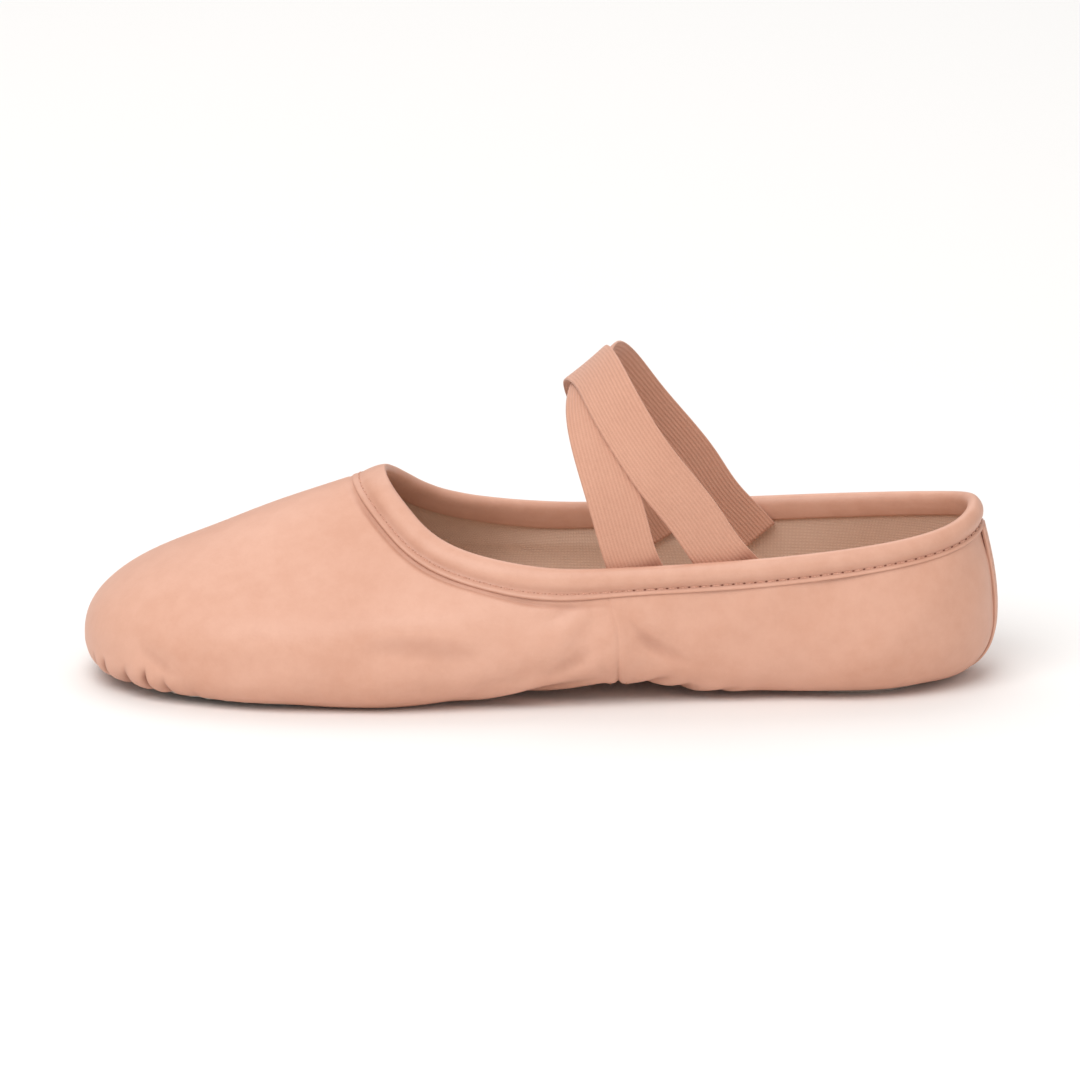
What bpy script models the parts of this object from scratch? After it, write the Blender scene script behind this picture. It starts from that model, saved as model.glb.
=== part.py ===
"""Split-sole ballet slipper: one soft leather shoe standing empty on two suede sole patches.

Sizes are millimetres in the shoe's own terms: x runs from the back of the heel to the toe tip,
y to the wearer's left, z up from the floor. The finished solids are in metres, with the origin on
the floor under the middle of the shoe.
"""

import math
from typing import Callable, NamedTuple

import bmesh
import bpy
import numpy as np

# Plan of the shoe
LENGTH = 240.0
HEEL_CENTRE = 45.0
HEEL_HALF_WIDTH = 33.5
HEEL_ROUNDNESS = 2.2
WAIST_X = 96.0
WAIST_HALF_WIDTH = 37.5
BALL_CENTRE = 160.0
BALL_HALF_WIDTH = 45.5
TOE_ROUNDNESS = 2.35

# Underside
CLEARANCE = 0.3
SOLE_THICKNESS = 1.2
UPPER_BASE = SOLE_THICKNESS + CLEARANCE
FLAT_SHARE = 0.66
CURL_ROUNDNESS = 2.5
ARCH_LIFT = 3.8
ARCH_BACK = 64.0
ARCH_TOP = 97.0
ARCH_FRONT = 146.0
TOE_SPRING = 1.0
TOE_SPRING_START = 205.0

# Leather
WALL = 1.5
SEAM_X = 99.5
SEAM_DEPTH = 0.4
SEAM_HALF_WIDTH = 1.6
SEAM_TOP = 1.6
SEAM_FADE = 0.1
PLEATS_A_SIDE = 6.5
PLEAT_WIDTH = 7.2
PLEAT_CREASE = 0.2
PLEAT_DEPTH = 0.8
PLEAT_TOP = 1.0
PLEAT_FADE = 0.42
PLEAT_SWELL = 0.5
SWELL_START = 0.45
SWELL_FADE = 0.25

# Sole patches
LAP = 8.0
FOREFOOT_MIDDLE = 187.5
FOREFOOT_HALF_LENGTH = 41.5
FOREFOOT_HALF_WIDTH = 35.5
FOREFOOT_EGG = 0.15
HEEL_PATCH_MIDDLE = 48.0
HEEL_PATCH_HALF_LENGTH = 31.0
HEEL_PATCH_HALF_WIDTH = 21.5
TEARDROP_PEAK = 4.0 / math.sqrt(27.0)

# Binding, heel strip, insole and elastics
BINDING_HEIGHT = 6.0
BINDING_LEG = 0.9
STRIP_WIDTH = 12.5
STRIP_THICKNESS = 0.8
INSOLE_SHARE = 0.73
INSOLE_THICKNESS = 1.5
STRAP_WIDTH = 14.0
STRAP_THICKNESS = 1.0
STRAP_FRONT_X = 95.0
STRAP_FRONT_LEAN = 0.33
STRAP_REAR_X = 71.0
STRAP_REAR_LEAN = 0.8
STRAP_TUCK = 10.0
STRAP_LIFT_END = 84.0
STRAP_LIFT_FADE = 14.0

# Fineness of the facets
HEEL_COLUMNS = 10
SIDE_COLUMNS = 5
WAIST_COLUMNS = 6
FORE_COLUMNS = 4
VAMP_COLUMNS = 5
UNDER_ROWS = 6
WALL_ROWS = 6
PATCH_SPOKES = 40
PATCH_RINGS = (0.4, 0.7, 0.88, 1.0)
INSOLE_TOE_COLUMNS = 14
INSOLE_ROWS = (0.0, 0.45, 0.8, 1.0)
STRAP_STATIONS = 34
OUTLINE_POINTS = 600
STATION_STEP = 0.002
LEVEL_STEP = 0.004
SMOOTH_ANGLE_DEG = 40.0
MILLIMETRE = 0.001


class Section(NamedTuple):
    """One section of the upper, from its widest line up to the collar."""

    station: float
    collar_x: float
    collar_y: float
    collar_z: float
    pitch_deg: float
    widest_z: float
    rise: float
    run: float


SECTIONS = (
    Section(0.00, 5.0, 0.0, 46.5, 76.0, 18.5, 10.0, 9.0),
    Section(0.10, 12.0, 17.5, 43.8, 78.0, 18.5, 9.0, 8.0),
    Section(0.22, 41.0, 29.8, 40.0, 82.0, 18.5, 7.0, 7.0),
    Section(0.40, 99.5, 34.8, 36.4, 83.0, 18.0, 6.0, 6.0),
    Section(0.52, 122.0, 34.2, 36.9, 70.0, 17.2, 8.0, 8.0),
    Section(0.63, 141.0, 29.2, 40.4, 50.0, 16.0, 11.0, 15.0),
    Section(0.78, 154.6, 18.6, 48.2, 30.9, 14.2, 13.3, 36.6),
    Section(0.90, 160.4, 8.8, 53.8, 22.2, 13.1, 13.6, 53.6),
    Section(1.00, 162.0, 0.0, 55.7, 19.2, 12.6, 13.6, 60.4),
)


class Instep(NamedTuple):
    """One upright section of the arch that the elastics pass over, standing in the collar."""

    x: float
    ridge_z: float
    half_width: float


INSTEP = (
    Instep(60.0, 177.0, 29.6),
    Instep(80.0, 127.0, 30.6),
    Instep(90.0, 105.5, 31.2),
    Instep(97.0, 93.0, 31.4),
    Instep(102.5, 86.4, 31.6),
    Instep(107.0, 82.2, 31.8),
    Instep(112.0, 78.2, 32.0),
    Instep(125.0, 71.0, 32.0),
)
INSTEP_FOOT_Z = 32.0


class StrapPoint(NamedTuple):
    """One point of an elastic's middle line: its turn round the instep and its place along it."""

    angle_deg: float
    x: float


STRAP_RUN = (
    StrapPoint(74.0, 98.9),
    StrapPoint(58.5, 102.6),
    StrapPoint(44.0, 105.4),
    StrapPoint(30.0, 107.0),
    StrapPoint(15.0, 107.3),
    StrapPoint(0.0, 106.3),
    StrapPoint(-15.0, 104.4),
    StrapPoint(-30.0, 101.9),
    StrapPoint(-46.4, 97.8),
    StrapPoint(-58.5, 93.3),
    StrapPoint(-68.0, 88.4),
    StrapPoint(-79.0, 80.0),
)


class BandPoint(NamedTuple):
    """A corner of the binding's channel: how far below the collar edge, how far outside it."""

    below: float
    outside: float


BINDING_CHANNEL = (
    BandPoint(BINDING_HEIGHT, CLEARANCE),
    BandPoint(BINDING_HEIGHT, CLEARANCE + 0.7 * BINDING_LEG),
    BandPoint(0.5 * BINDING_HEIGHT, CLEARANCE + 1.2 * BINDING_LEG),
    BandPoint(0.0, CLEARANCE + BINDING_LEG),
    BandPoint(-CLEARANCE - 0.8 * BINDING_LEG, 0.0),
    BandPoint(-CLEARANCE - BINDING_LEG, -0.5 * WALL),
    BandPoint(-CLEARANCE - 0.8 * BINDING_LEG, -WALL),
    BandPoint(0.0, -WALL - CLEARANCE - BINDING_LEG),
    BandPoint(BINDING_HEIGHT, -WALL - CLEARANCE - BINDING_LEG),
    BandPoint(BINDING_HEIGHT, -WALL - CLEARANCE),
    BandPoint(-CLEARANCE, -WALL - CLEARANCE),
    BandPoint(-CLEARANCE, CLEARANCE),
)


def spline(knots: np.ndarray, values: np.ndarray, level_ends: bool) -> Callable:
    """Return a smooth curve through the knots, with level or with straight ends."""
    count = len(knots)
    step = np.diff(knots)
    slope = np.diff(values) / step
    system = np.zeros((count, count))
    right = np.zeros(count)
    for k in range(1, count - 1):
        system[k, k - 1:k + 2] = step[k - 1], 2.0 * (step[k - 1] + step[k]), step[k]
        right[k] = 6.0 * (slope[k] - slope[k - 1])
    system[0, 0] = system[-1, -1] = 1.0
    if level_ends:
        system[0, :2] = 2.0 * step[0], step[0]
        system[-1, -2:] = step[-1], 2.0 * step[-1]
        right[0] = 6.0 * slope[0]
        right[-1] = -6.0 * slope[-1]
    bend = np.linalg.solve(system, right)

    def curve(at: np.ndarray) -> np.ndarray:
        at = np.asarray(at, float)
        k = np.clip(np.searchsorted(knots, at) - 1, 0, count - 2)
        left = at - knots[k]
        gap = knots[k + 1] - at
        cubic = (bend[k] * gap**3 + bend[k + 1] * left**3) / (6.0 * step[k])
        start = (values[k] / step[k] - bend[k] * step[k] / 6.0) * gap
        return cubic + start + (values[k + 1] / step[k] - bend[k + 1] * step[k] / 6.0) * left

    return curve


def section_curve(column: str, level_ends: bool = True) -> Callable:
    """Return a smooth curve along the shoe through one column of the section table."""
    stations = np.array([row.station for row in SECTIONS])
    return spline(stations, np.array([getattr(row, column) for row in SECTIONS]), level_ends)


COLLAR_X = section_curve("collar_x")
COLLAR_Y = section_curve("collar_y", level_ends=False)
COLLAR_Z = section_curve("collar_z")
PITCH = section_curve("pitch_deg")
WIDEST_Z = section_curve("widest_z")
RISE = section_curve("rise")
RUN = section_curve("run")
INSTEP_X = np.array([row.x for row in INSTEP])
INSTEP_RIDGE = spline(INSTEP_X, np.array([row.ridge_z for row in INSTEP]), False)
INSTEP_HALF_WIDTH = spline(INSTEP_X, np.array([row.half_width for row in INSTEP]), False)
SIDE_HALF_WIDTH = spline(
    np.array([HEEL_CENTRE, WAIST_X, BALL_CENTRE]),
    np.array([HEEL_HALF_WIDTH, WAIST_HALF_WIDTH, BALL_HALF_WIDTH]),
    True,
)


def rounded_end(centre: float, reach: float, half_width: float, power: float) -> np.ndarray:
    """Return a quarter of a rounded end in plan, from its tip to its full width."""
    turn = np.linspace(0.0, 0.5 * math.pi, OUTLINE_POINTS)
    along = centre + reach * np.cos(turn) ** (2.0 / power)
    return np.column_stack([along, half_width * np.sin(turn) ** (2.0 / power)])


def plan_outline() -> tuple[np.ndarray, np.ndarray]:
    """Return one side of the widest line in plan, heel to toe, and the share run at each point."""
    heel = rounded_end(HEEL_CENTRE, -HEEL_CENTRE, HEEL_HALF_WIDTH, HEEL_ROUNDNESS)
    toe = rounded_end(BALL_CENTRE, LENGTH - BALL_CENTRE, BALL_HALF_WIDTH, TOE_ROUNDNESS)
    x = np.linspace(HEEL_CENTRE, BALL_CENTRE, OUTLINE_POINTS)[1:-1]
    line = np.vstack([heel, np.column_stack([x, SIDE_HALF_WIDTH(x)]), toe[::-1]])
    run = np.concatenate([[0.0], np.cumsum(np.hypot(*np.diff(line, axis=0).T))])
    return line, run / run[-1]


OUTLINE, OUTLINE_SHARE = plan_outline()
OUTLINE_LENGTH = float(np.hypot(*np.diff(OUTLINE, axis=0).T).sum())


def station_at(x: float) -> float:
    """Return the share of the outline at which the widest line passes x."""
    return float(np.interp(x, OUTLINE[:, 0], OUTLINE_SHARE))


def widest_line(station: np.ndarray) -> np.ndarray:
    """Return points of the widest line."""
    x = np.interp(station, OUTLINE_SHARE, OUTLINE[:, 0])
    y = np.interp(station, OUTLINE_SHARE, OUTLINE[:, 1])
    return np.stack([x, y, WIDEST_Z(station)], axis=-1)


def spine(widest: np.ndarray) -> np.ndarray:
    """Return the point on the middle line of the sole that each widest point looks back to."""
    foot = np.zeros_like(widest)
    foot[..., 0] = np.clip(widest[..., 0], HEEL_CENTRE, BALL_CENTRE)
    return foot


def sole_line(x: np.ndarray) -> np.ndarray:
    """Return the height of the underside along the middle: flat, arched at the waist, sprung toe."""
    back = np.clip((x - ARCH_BACK) / (ARCH_TOP - ARCH_BACK), 0.0, 1.0)
    front = np.clip((ARCH_FRONT - x) / (ARCH_FRONT - ARCH_TOP), 0.0, 1.0)
    arch = np.sin(0.5 * math.pi * np.minimum(back, front)) ** 2
    spring = np.clip((x - TOE_SPRING_START) / (LENGTH - TOE_SPRING_START), 0.0, 1.0) ** 2
    return UPPER_BASE + ARCH_LIFT * arch + TOE_SPRING * spring


def curled(x: np.ndarray, share: np.ndarray, widest_z: np.ndarray) -> np.ndarray:
    """Return the underside height: flat in the middle, curling up to the widest line at share 1."""
    outer = np.clip((share - FLAT_SHARE) / (1.0 - FLAT_SHARE), 0.0, 1.0)
    curl = 1.0 - (1.0 - outer**CURL_ROUNDNESS) ** (1.0 / CURL_ROUNDNESS)
    base = sole_line(x)
    return base + (widest_z - base) * curl


def underside(x: np.ndarray, y: np.ndarray) -> np.ndarray:
    """Return the height of the upper's underside over any point of the plan."""
    toe = ((np.abs(x - BALL_CENTRE) / (LENGTH - BALL_CENTRE)) ** TOE_ROUNDNESS
           + (np.abs(y) / BALL_HALF_WIDTH) ** TOE_ROUNDNESS) ** (1.0 / TOE_ROUNDNESS)
    heel = ((np.abs(x - HEEL_CENTRE) / HEEL_CENTRE) ** HEEL_ROUNDNESS
            + (np.abs(y) / HEEL_HALF_WIDTH) ** HEEL_ROUNDNESS) ** (1.0 / HEEL_ROUNDNESS)
    middle = np.clip(x, HEEL_CENTRE, BALL_CENTRE)
    side = np.abs(y) / SIDE_HALF_WIDTH(middle)
    share = np.where(x > BALL_CENTRE, toe, np.where(x < HEEL_CENTRE, heel, side))
    rim_x = middle + (x - middle) / np.maximum(share, 1e-6)
    station = np.interp(rim_x, OUTLINE[:, 0], OUTLINE_SHARE)
    return curled(x, share, WIDEST_Z(station))


def forefoot_half_width(x: np.ndarray, inset: float = 0.0) -> np.ndarray:
    """Return the half width of the egg-shaped forefoot patch, drawn in by the inset."""
    u = np.clip((x - FOREFOOT_MIDDLE) / (FOREFOOT_HALF_LENGTH - inset), -1.0, 1.0)
    return (FOREFOOT_HALF_WIDTH - inset) * np.sqrt(1.0 - u**2) * (1.0 + FOREFOOT_EGG * u)


def heel_patch_half_width(x: np.ndarray, inset: float = 0.0) -> np.ndarray:
    """Return the half width of the teardrop heel patch, drawn in by the inset."""
    u = np.clip((x - HEEL_PATCH_MIDDLE) / (HEEL_PATCH_HALF_LENGTH - inset), -1.0, 1.0)
    drop = np.sqrt(1.0 - u**2) * np.sqrt(0.5 * (1.0 - u))
    return (HEEL_PATCH_HALF_WIDTH - inset) * drop / TEARDROP_PEAK


def opening_share(widest: np.ndarray) -> np.ndarray:
    """Return how far out from the middle the leather starts: past the opening under a patch."""
    middle = spine(widest)
    near = np.zeros(widest.shape[:-1])
    far = np.ones_like(near)
    for _ in range(40):
        share = 0.5 * (near + far)
        x = middle[..., 0] + share * (widest[..., 0] - middle[..., 0])
        y = share * widest[..., 1]
        open_to = np.maximum(forefoot_half_width(x, LAP), heel_patch_half_width(x, LAP))
        near, far = np.where(y < open_to, share, near), np.where(y < open_to, far, share)
    along = np.abs(middle[..., 0] - FOREFOOT_MIDDLE) < FOREFOOT_HALF_LENGTH - LAP - 1e-6
    along |= np.abs(middle[..., 0] - HEEL_PATCH_MIDDLE) < HEEL_PATCH_HALF_LENGTH - LAP - 1e-6
    return np.where(along, near, 0.0)


def wall_curve(station: np.ndarray, climb: np.ndarray) -> np.ndarray:
    """Return points of the wall: climb 0 on the widest line, standing upright, 1 at the collar."""
    foot = widest_line(station)
    top = np.stack([COLLAR_X(station), COLLAR_Y(station), COLLAR_Z(station)], axis=-1)
    inward = unit((top - foot)[..., :2])
    pitch = np.radians(PITCH(station))[..., None]
    lean = np.concatenate([np.cos(pitch) * inward, np.sin(pitch)], axis=-1)
    upright = np.array([0.0, 0.0, 1.0]) * RISE(station)[..., None]
    t = climb[..., None]
    points = (1.0 - t) ** 3 * foot + 3.0 * t * (1.0 - t) ** 2 * (foot + upright)
    points += 3.0 * t**2 * (1.0 - t) * (top - RUN(station)[..., None] * lean) + t**3 * top
    return points


def climb_below_collar(station: np.ndarray, below: float) -> np.ndarray:
    """Return the climb at which the wall is a given way below the collar edge, along the leather."""
    t = np.linspace(1.0, 0.0, 81)
    line = wall_curve(station[:, None] + 0.0 * t, t + 0.0 * station[:, None])
    run = np.linalg.norm(np.diff(line, axis=1), axis=-1).cumsum(axis=1)
    run = np.concatenate([np.zeros((len(station), 1)), run], axis=1)
    return np.array([np.interp(below, way, t) for way in run])


def ring_point(station: np.ndarray, level: np.ndarray) -> np.ndarray:
    """Return points of the upper's smooth outside.

    Level 0 is the inner edge of the leather underneath, 1 the widest line and 2 the collar.
    """
    foot = widest_line(station)
    start = opening_share(foot)
    way = np.clip(level, 0.0, 1.0)
    share = start + (1.0 - start) * (1.0 - (1.0 - way) ** 2)
    middle = spine(foot)
    under = middle + share[..., None] * (foot - middle)
    under[..., 2] = curled(under[..., 0], share, foot[..., 2])
    wall = wall_curve(station, np.clip(level - 1.0, 0.0, 1.0))
    return np.where((level <= 1.0)[..., None], under, wall)


def unit(vectors: np.ndarray) -> np.ndarray:
    """Return the directions of vectors."""
    return vectors / np.linalg.norm(vectors, axis=-1, keepdims=True)


def ring_normal(station: np.ndarray, level: np.ndarray) -> np.ndarray:
    """Return the outward direction of the upper's smooth outside."""
    start = np.minimum(level, np.where(level > 1.0, 2.0, 1.0) - LEVEL_STEP)
    here = ring_point(station, start)
    up = ring_point(station, start + LEVEL_STEP) - here
    way = np.where(station > 0.5, -1.0, 1.0)
    along = way[..., None] * (ring_point(station + way * STATION_STEP, start) - here)
    on_middle = np.minimum(station, 1.0 - station) < 0.01 * STATION_STEP
    straight_across = way[..., None] * np.array([0.0, 1.0, 0.0])
    return unit(np.cross(up, np.where(on_middle[..., None], straight_across, along)))


def pleat_count(station: np.ndarray) -> np.ndarray:
    """Return how many pleat widths a station lies from the toe tip."""
    return (1.0 - station) * OUTLINE_LENGTH / PLEAT_WIDTH


def pleat_wave(station: np.ndarray) -> np.ndarray:
    """Return 1 in the creases between the toe pleats and 0 on their lobes."""
    from_crease = np.abs((pleat_count(station) % 1.0) - 0.5)
    return np.clip(1.0 - from_crease / PLEAT_CREASE, 0.0, 1.0)


def relief(station: np.ndarray, level: np.ndarray) -> np.ndarray:
    """Return how far the leather stands out from its smooth outside: pleats and the waist seam."""
    pleated = np.clip(PLEATS_A_SIDE + 0.5 - pleat_count(station), 0.0, 1.0)
    fade = np.clip((PLEAT_TOP - level) / PLEAT_FADE, 0.0, 1.0)
    lobe = PLEAT_SWELL * np.clip((level - SWELL_START) / SWELL_FADE, 0.0, 1.0)
    pleats = pleated * fade * (lobe - (PLEAT_DEPTH + lobe) * pleat_wave(station))
    from_seam = np.abs(station - station_at(SEAM_X)) * OUTLINE_LENGTH / SEAM_HALF_WIDTH
    seam = np.clip(1.0 - from_seam, 0.0, 1.0) * np.clip((SEAM_TOP - level) / SEAM_FADE, 0.0, 1.0)
    return pleats - SEAM_DEPTH * seam


class Body:
    """Points and faces of one solid, gathered patch by patch, in millimetres."""

    def __init__(self) -> None:
        self.points: list[np.ndarray] = []
        self.faces: list[tuple[int, ...]] = []
        self.count = 0

    def add(self, points: np.ndarray) -> np.ndarray:
        """Store points of any grid and return their numbers in the same layout."""
        flat = points.reshape(-1, 3)
        numbers = np.arange(self.count, self.count + len(flat))
        self.points.append(flat)
        self.count += len(flat)
        return numbers.reshape(points.shape[:-1])

    def skin(self, numbers: np.ndarray) -> None:
        """Lay faces over a grid of point numbers."""
        corners = numbers[:-1, :-1], numbers[:-1, 1:], numbers[1:, 1:], numbers[1:, :-1]
        self.faces += [tuple(face) for face in np.stack(corners, axis=-1).reshape(-1, 4).tolist()]

    def mirror(self) -> None:
        """Add the other half of the shoe across the middle plane."""
        shift = self.count
        self.add(np.vstack(self.points) * np.array([1.0, -1.0, 1.0]))
        self.faces += [tuple(shift + k for k in face) for face in self.faces]

    def finish(self, name: str, colour: tuple[float, float, float], roughness: float) -> None:
        """Make the named solid, closed and facing outward, with its own material."""
        points = (np.vstack(self.points) - np.array([0.5 * LENGTH, 0.0, 0.0])) * MILLIMETRE
        mesh = bpy.data.meshes.new(name)
        mesh.from_pydata(points.tolist(), [], self.faces)
        work = bmesh.new()
        work.from_mesh(mesh)
        bmesh.ops.remove_doubles(work, verts=work.verts, dist=0.01 * MILLIMETRE)
        bmesh.ops.recalc_face_normals(work, faces=work.faces)
        bmesh.ops.triangulate(work, faces=work.faces)
        work.to_mesh(mesh)
        work.free()
        material = bpy.data.materials.new(name)
        material.use_nodes = True
        shader = material.node_tree.nodes["Principled BSDF"]
        shader.inputs["Base Color"].default_value = (*colour, 1.0)
        shader.inputs["Roughness"].default_value = roughness
        mesh.materials.append(material)
        mesh.shade_smooth()
        mesh.set_sharp_from_angle(angle=math.radians(SMOOTH_ANGLE_DEG))
        bpy.context.scene.collection.objects.link(bpy.data.objects.new(name, mesh))


def upper_stations() -> np.ndarray:
    """Return the columns of the upper from the heel back to the toe tip."""
    back = OUTLINE[:, 0] <= HEEL_CENTRE
    strip_edge = float(np.interp(0.5 * STRIP_WIDTH, OUTLINE[back, 1], OUTLINE_SHARE[back]))
    heel = station_at(HEEL_CENTRE)
    heel_tip = station_at(HEEL_PATCH_MIDDLE + HEEL_PATCH_HALF_LENGTH - LAP)
    seam = station_at(SEAM_X)
    seam_half = SEAM_HALF_WIDTH / OUTLINE_LENGTH
    fore_end = station_at(FOREFOOT_MIDDLE - FOREFOOT_HALF_LENGTH + LAP)
    ball = station_at(BALL_CENTRE)
    pleat = PLEAT_WIDTH / OUTLINE_LENGTH
    first_pleat = 1.0 - (PLEATS_A_SIDE + 0.2) * pleat
    columns = [
        np.linspace(0.0, strip_edge, 3),
        np.linspace(strip_edge, heel, HEEL_COLUMNS),
        np.linspace(heel, heel_tip, SIDE_COLUMNS),
        np.linspace(heel_tip, seam - seam_half, WAIST_COLUMNS),
        np.array([seam, seam + seam_half]),
        np.linspace(seam + seam_half, fore_end, WAIST_COLUMNS),
        np.linspace(fore_end, ball, FORE_COLUMNS),
        np.linspace(ball, first_pleat, VAMP_COLUMNS),
    ]
    for k in range(math.ceil(PLEATS_A_SIDE)):
        columns.append(1.0 - pleat * (k + np.array([0.0, 0.3, 0.5, 0.7])))
    return np.unique(np.round(np.concatenate(columns), 7))


def upper_levels(stations: np.ndarray) -> np.ndarray:
    """Return the rows of the upper for every column, with two rows kept for the binding."""
    under = np.linspace(0.0, 1.0, UNDER_ROWS + 1)
    foot = climb_below_collar(stations, BINDING_HEIGHT)
    half = climb_below_collar(stations, 0.5 * BINDING_HEIGHT)
    rows = [np.full_like(stations, level) for level in under]
    rows += [1.0 + foot * k / WALL_ROWS for k in range(1, WALL_ROWS + 1)]
    rows += [1.0 + half, np.full_like(stations, 2.0)]
    return np.array(rows)


def build_upper() -> None:
    """Make the hollow leather upper: open at the collar and under the two sole patches."""
    stations = upper_stations()
    levels = upper_levels(stations)
    columns = np.broadcast_to(stations, levels.shape)
    smooth = ring_point(columns, levels)
    normal = ring_normal(columns, levels)
    half = Body()
    outer = half.add(smooth + relief(columns, levels)[..., None] * normal)
    inner_points = smooth - WALL * normal
    joined = opening_share(widest_line(stations)) == 0.0
    inner_points[0, joined, 1] = 0.0
    inner_points[:, [0, -1], 1] = 0.0
    inner = half.add(inner_points)
    half.skin(outer)
    half.skin(inner[::-1])
    half.skin(np.stack([outer[-1], inner[-1]]))
    rim = ~(joined[:-1] & joined[1:])
    for k in np.flatnonzero(rim):
        half.skin(np.stack([inner[0, k:k + 2], outer[0, k:k + 2]]))
    half.mirror()
    half.finish("upper", (0.86, 0.48, 0.35), 0.5)


def build_patch(name: str, middle: float, reach: float, half_width: Callable) -> None:
    """Make a suede sole patch that follows the underside and lies flat on the floor."""
    turn = np.linspace(0.0, 2.0 * math.pi, PATCH_SPOKES + 1)
    edge_x = middle + reach * np.cos(turn)
    edge_y = half_width(edge_x) * np.sign(np.sin(turn))
    rings = np.array(PATCH_RINGS)[:, None]
    x = middle + rings * (edge_x - middle)
    y = rings * edge_y
    top_z = underside(x, y) - CLEARANCE
    body = Body()
    top = body.add(np.stack([x, y, top_z], axis=-1))
    low = body.add(np.stack([x, y, top_z - SOLE_THICKNESS], axis=-1))
    centre = np.array([[middle, 0.0, UPPER_BASE - CLEARANCE], [middle, 0.0, 0.0]])
    hub_top, hub_low = body.add(centre)
    body.skin(top)
    body.skin(low[::-1])
    body.skin(np.stack([top[-1], low[-1]]))
    for k in range(PATCH_SPOKES):
        body.faces.append((int(top[0, k]), int(top[0, k + 1]), int(hub_top)))
        body.faces.append((int(low[0, k]), int(low[0, k + 1]), int(hub_low)))
    body.finish(name, (0.58, 0.50, 0.46), 0.9)


def build_insole() -> None:
    """Make the thin insole that lies on the leather inside."""
    ball = station_at(BALL_CENTRE)
    columns = upper_stations()
    stations = np.concatenate([columns[columns < ball], np.linspace(ball, 1.0, INSOLE_TOE_COLUMNS)])
    foot = widest_line(stations)
    middle = spine(foot)
    shares = INSOLE_SHARE * np.array(INSOLE_ROWS)
    plan = middle + shares[:, None, None] * (foot - middle)
    x, y = plan[..., 0], plan[..., 1]
    step = 0.5
    slope_x = (underside(x + step, y) - underside(x - step, y)) / (2.0 * step)
    slope_y = (underside(x, y + step) - underside(x, y - step)) / (2.0 * step)
    steepness = np.sqrt(1.0 + slope_x**2 + slope_y**2)
    plan[..., 2] = underside(x, y) + (WALL + CLEARANCE) * steepness
    raised = plan + np.array([0.0, 0.0, INSOLE_THICKNESS])
    half = Body()
    low = half.add(plan)
    top = half.add(raised)
    half.skin(low)
    half.skin(top[::-1])
    half.skin(np.stack([low[-1], top[-1]]))
    half.mirror()
    half.finish("insole", (0.80, 0.70, 0.60), 0.9)


def collar_band(stations: np.ndarray, below: float, outside: float) -> np.ndarray:
    """Return points a given way below the collar edge and outside the leather there."""
    levels = 1.0 + climb_below_collar(stations, max(below, 0.0))
    points = ring_point(stations, levels)
    normal = ring_normal(stations, levels)
    if below < 0.0:
        lower = ring_point(stations, 1.0 + climb_below_collar(stations, BINDING_LEG))
        points = points - below * unit(points - lower)
    points = points + outside * normal
    points[[0, -1], 1] = 0.0
    return points


def collar_stations() -> np.ndarray:
    """Return the columns of the collar: the upper's own, and every other one over the pleats."""
    columns = upper_stations()
    plain = columns < 1.0 - PLEATS_A_SIDE * PLEAT_WIDTH / OUTLINE_LENGTH
    return np.concatenate([columns[plain], columns[~plain][::-2][::-1]])


def build_binding() -> None:
    """Make the binding: a channel folded over the collar edge all the way round."""
    stations = collar_stations()
    loop = [collar_band(stations, corner.below, corner.outside) for corner in BINDING_CHANNEL]
    half = Body()
    numbers = half.add(np.array(loop))
    half.skin(np.vstack([numbers, numbers[:1]]))
    half.mirror()
    half.finish("collar_binding", (0.84, 0.45, 0.32), 0.5)


def build_heel_strip() -> None:
    """Make the strip over the heel seam, from under the binding to the edge of the heel patch."""
    stations = upper_stations()
    stations = stations[stations * OUTLINE_LENGTH < 0.55 * STRIP_WIDTH]
    patch_back = HEEL_PATCH_MIDDLE - HEEL_PATCH_HALF_LENGTH - 2.0 * CLEARANCE
    start = opening_share(widest_line(np.zeros(1)))[0]
    patch_share = (HEEL_CENTRE - patch_back) / HEEL_CENTRE
    lowest = 1.0 - math.sqrt((1.0 - patch_share) / (1.0 - start))
    under = np.linspace(lowest, 1.0, UNDER_ROWS)
    top = climb_below_collar(stations, BINDING_HEIGHT + 2.0 * CLEARANCE)
    rows = [np.full_like(stations, level) for level in under]
    rows += [1.0 + top * k / WALL_ROWS for k in range(1, WALL_ROWS + 1)]
    levels = np.array(rows)
    columns = np.broadcast_to(stations, levels.shape)
    smooth = ring_point(columns, levels)
    normal = ring_normal(columns, levels)
    half = Body()
    outer = half.add(smooth + (CLEARANCE + STRIP_THICKNESS) * normal)
    inner = half.add(smooth + CLEARANCE * normal)
    half.skin(outer)
    half.skin(inner[::-1])
    half.skin(np.stack([inner[0], outer[0]]))
    half.skin(np.stack([outer[-1], inner[-1]]))
    half.skin(np.stack([outer[:, -1], inner[:, -1]]))
    half.mirror()
    half.finish("heel_strip", (0.86, 0.47, 0.35), 0.5)


def instep_point(x: np.ndarray, angle: np.ndarray) -> np.ndarray:
    """Return points of the instep: half ellipses that stand across the shoe."""
    height = INSTEP_RIDGE(x) - INSTEP_FOOT_Z
    y = INSTEP_HALF_WIDTH(x) * np.sin(angle)
    return np.stack([x, y, INSTEP_FOOT_Z + height * np.cos(angle)], axis=-1)


def instep_slopes(x: np.ndarray, angle: np.ndarray) -> tuple[np.ndarray, np.ndarray]:
    """Return how the instep runs along the shoe and round the foot at each point."""
    dx = 0.05
    turn = 0.001
    along = (instep_point(x + dx, angle) - instep_point(x - dx, angle)) / (2.0 * dx)
    around = (instep_point(x, angle + turn) - instep_point(x, angle - turn)) / (2.0 * turn)
    return along, around


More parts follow.
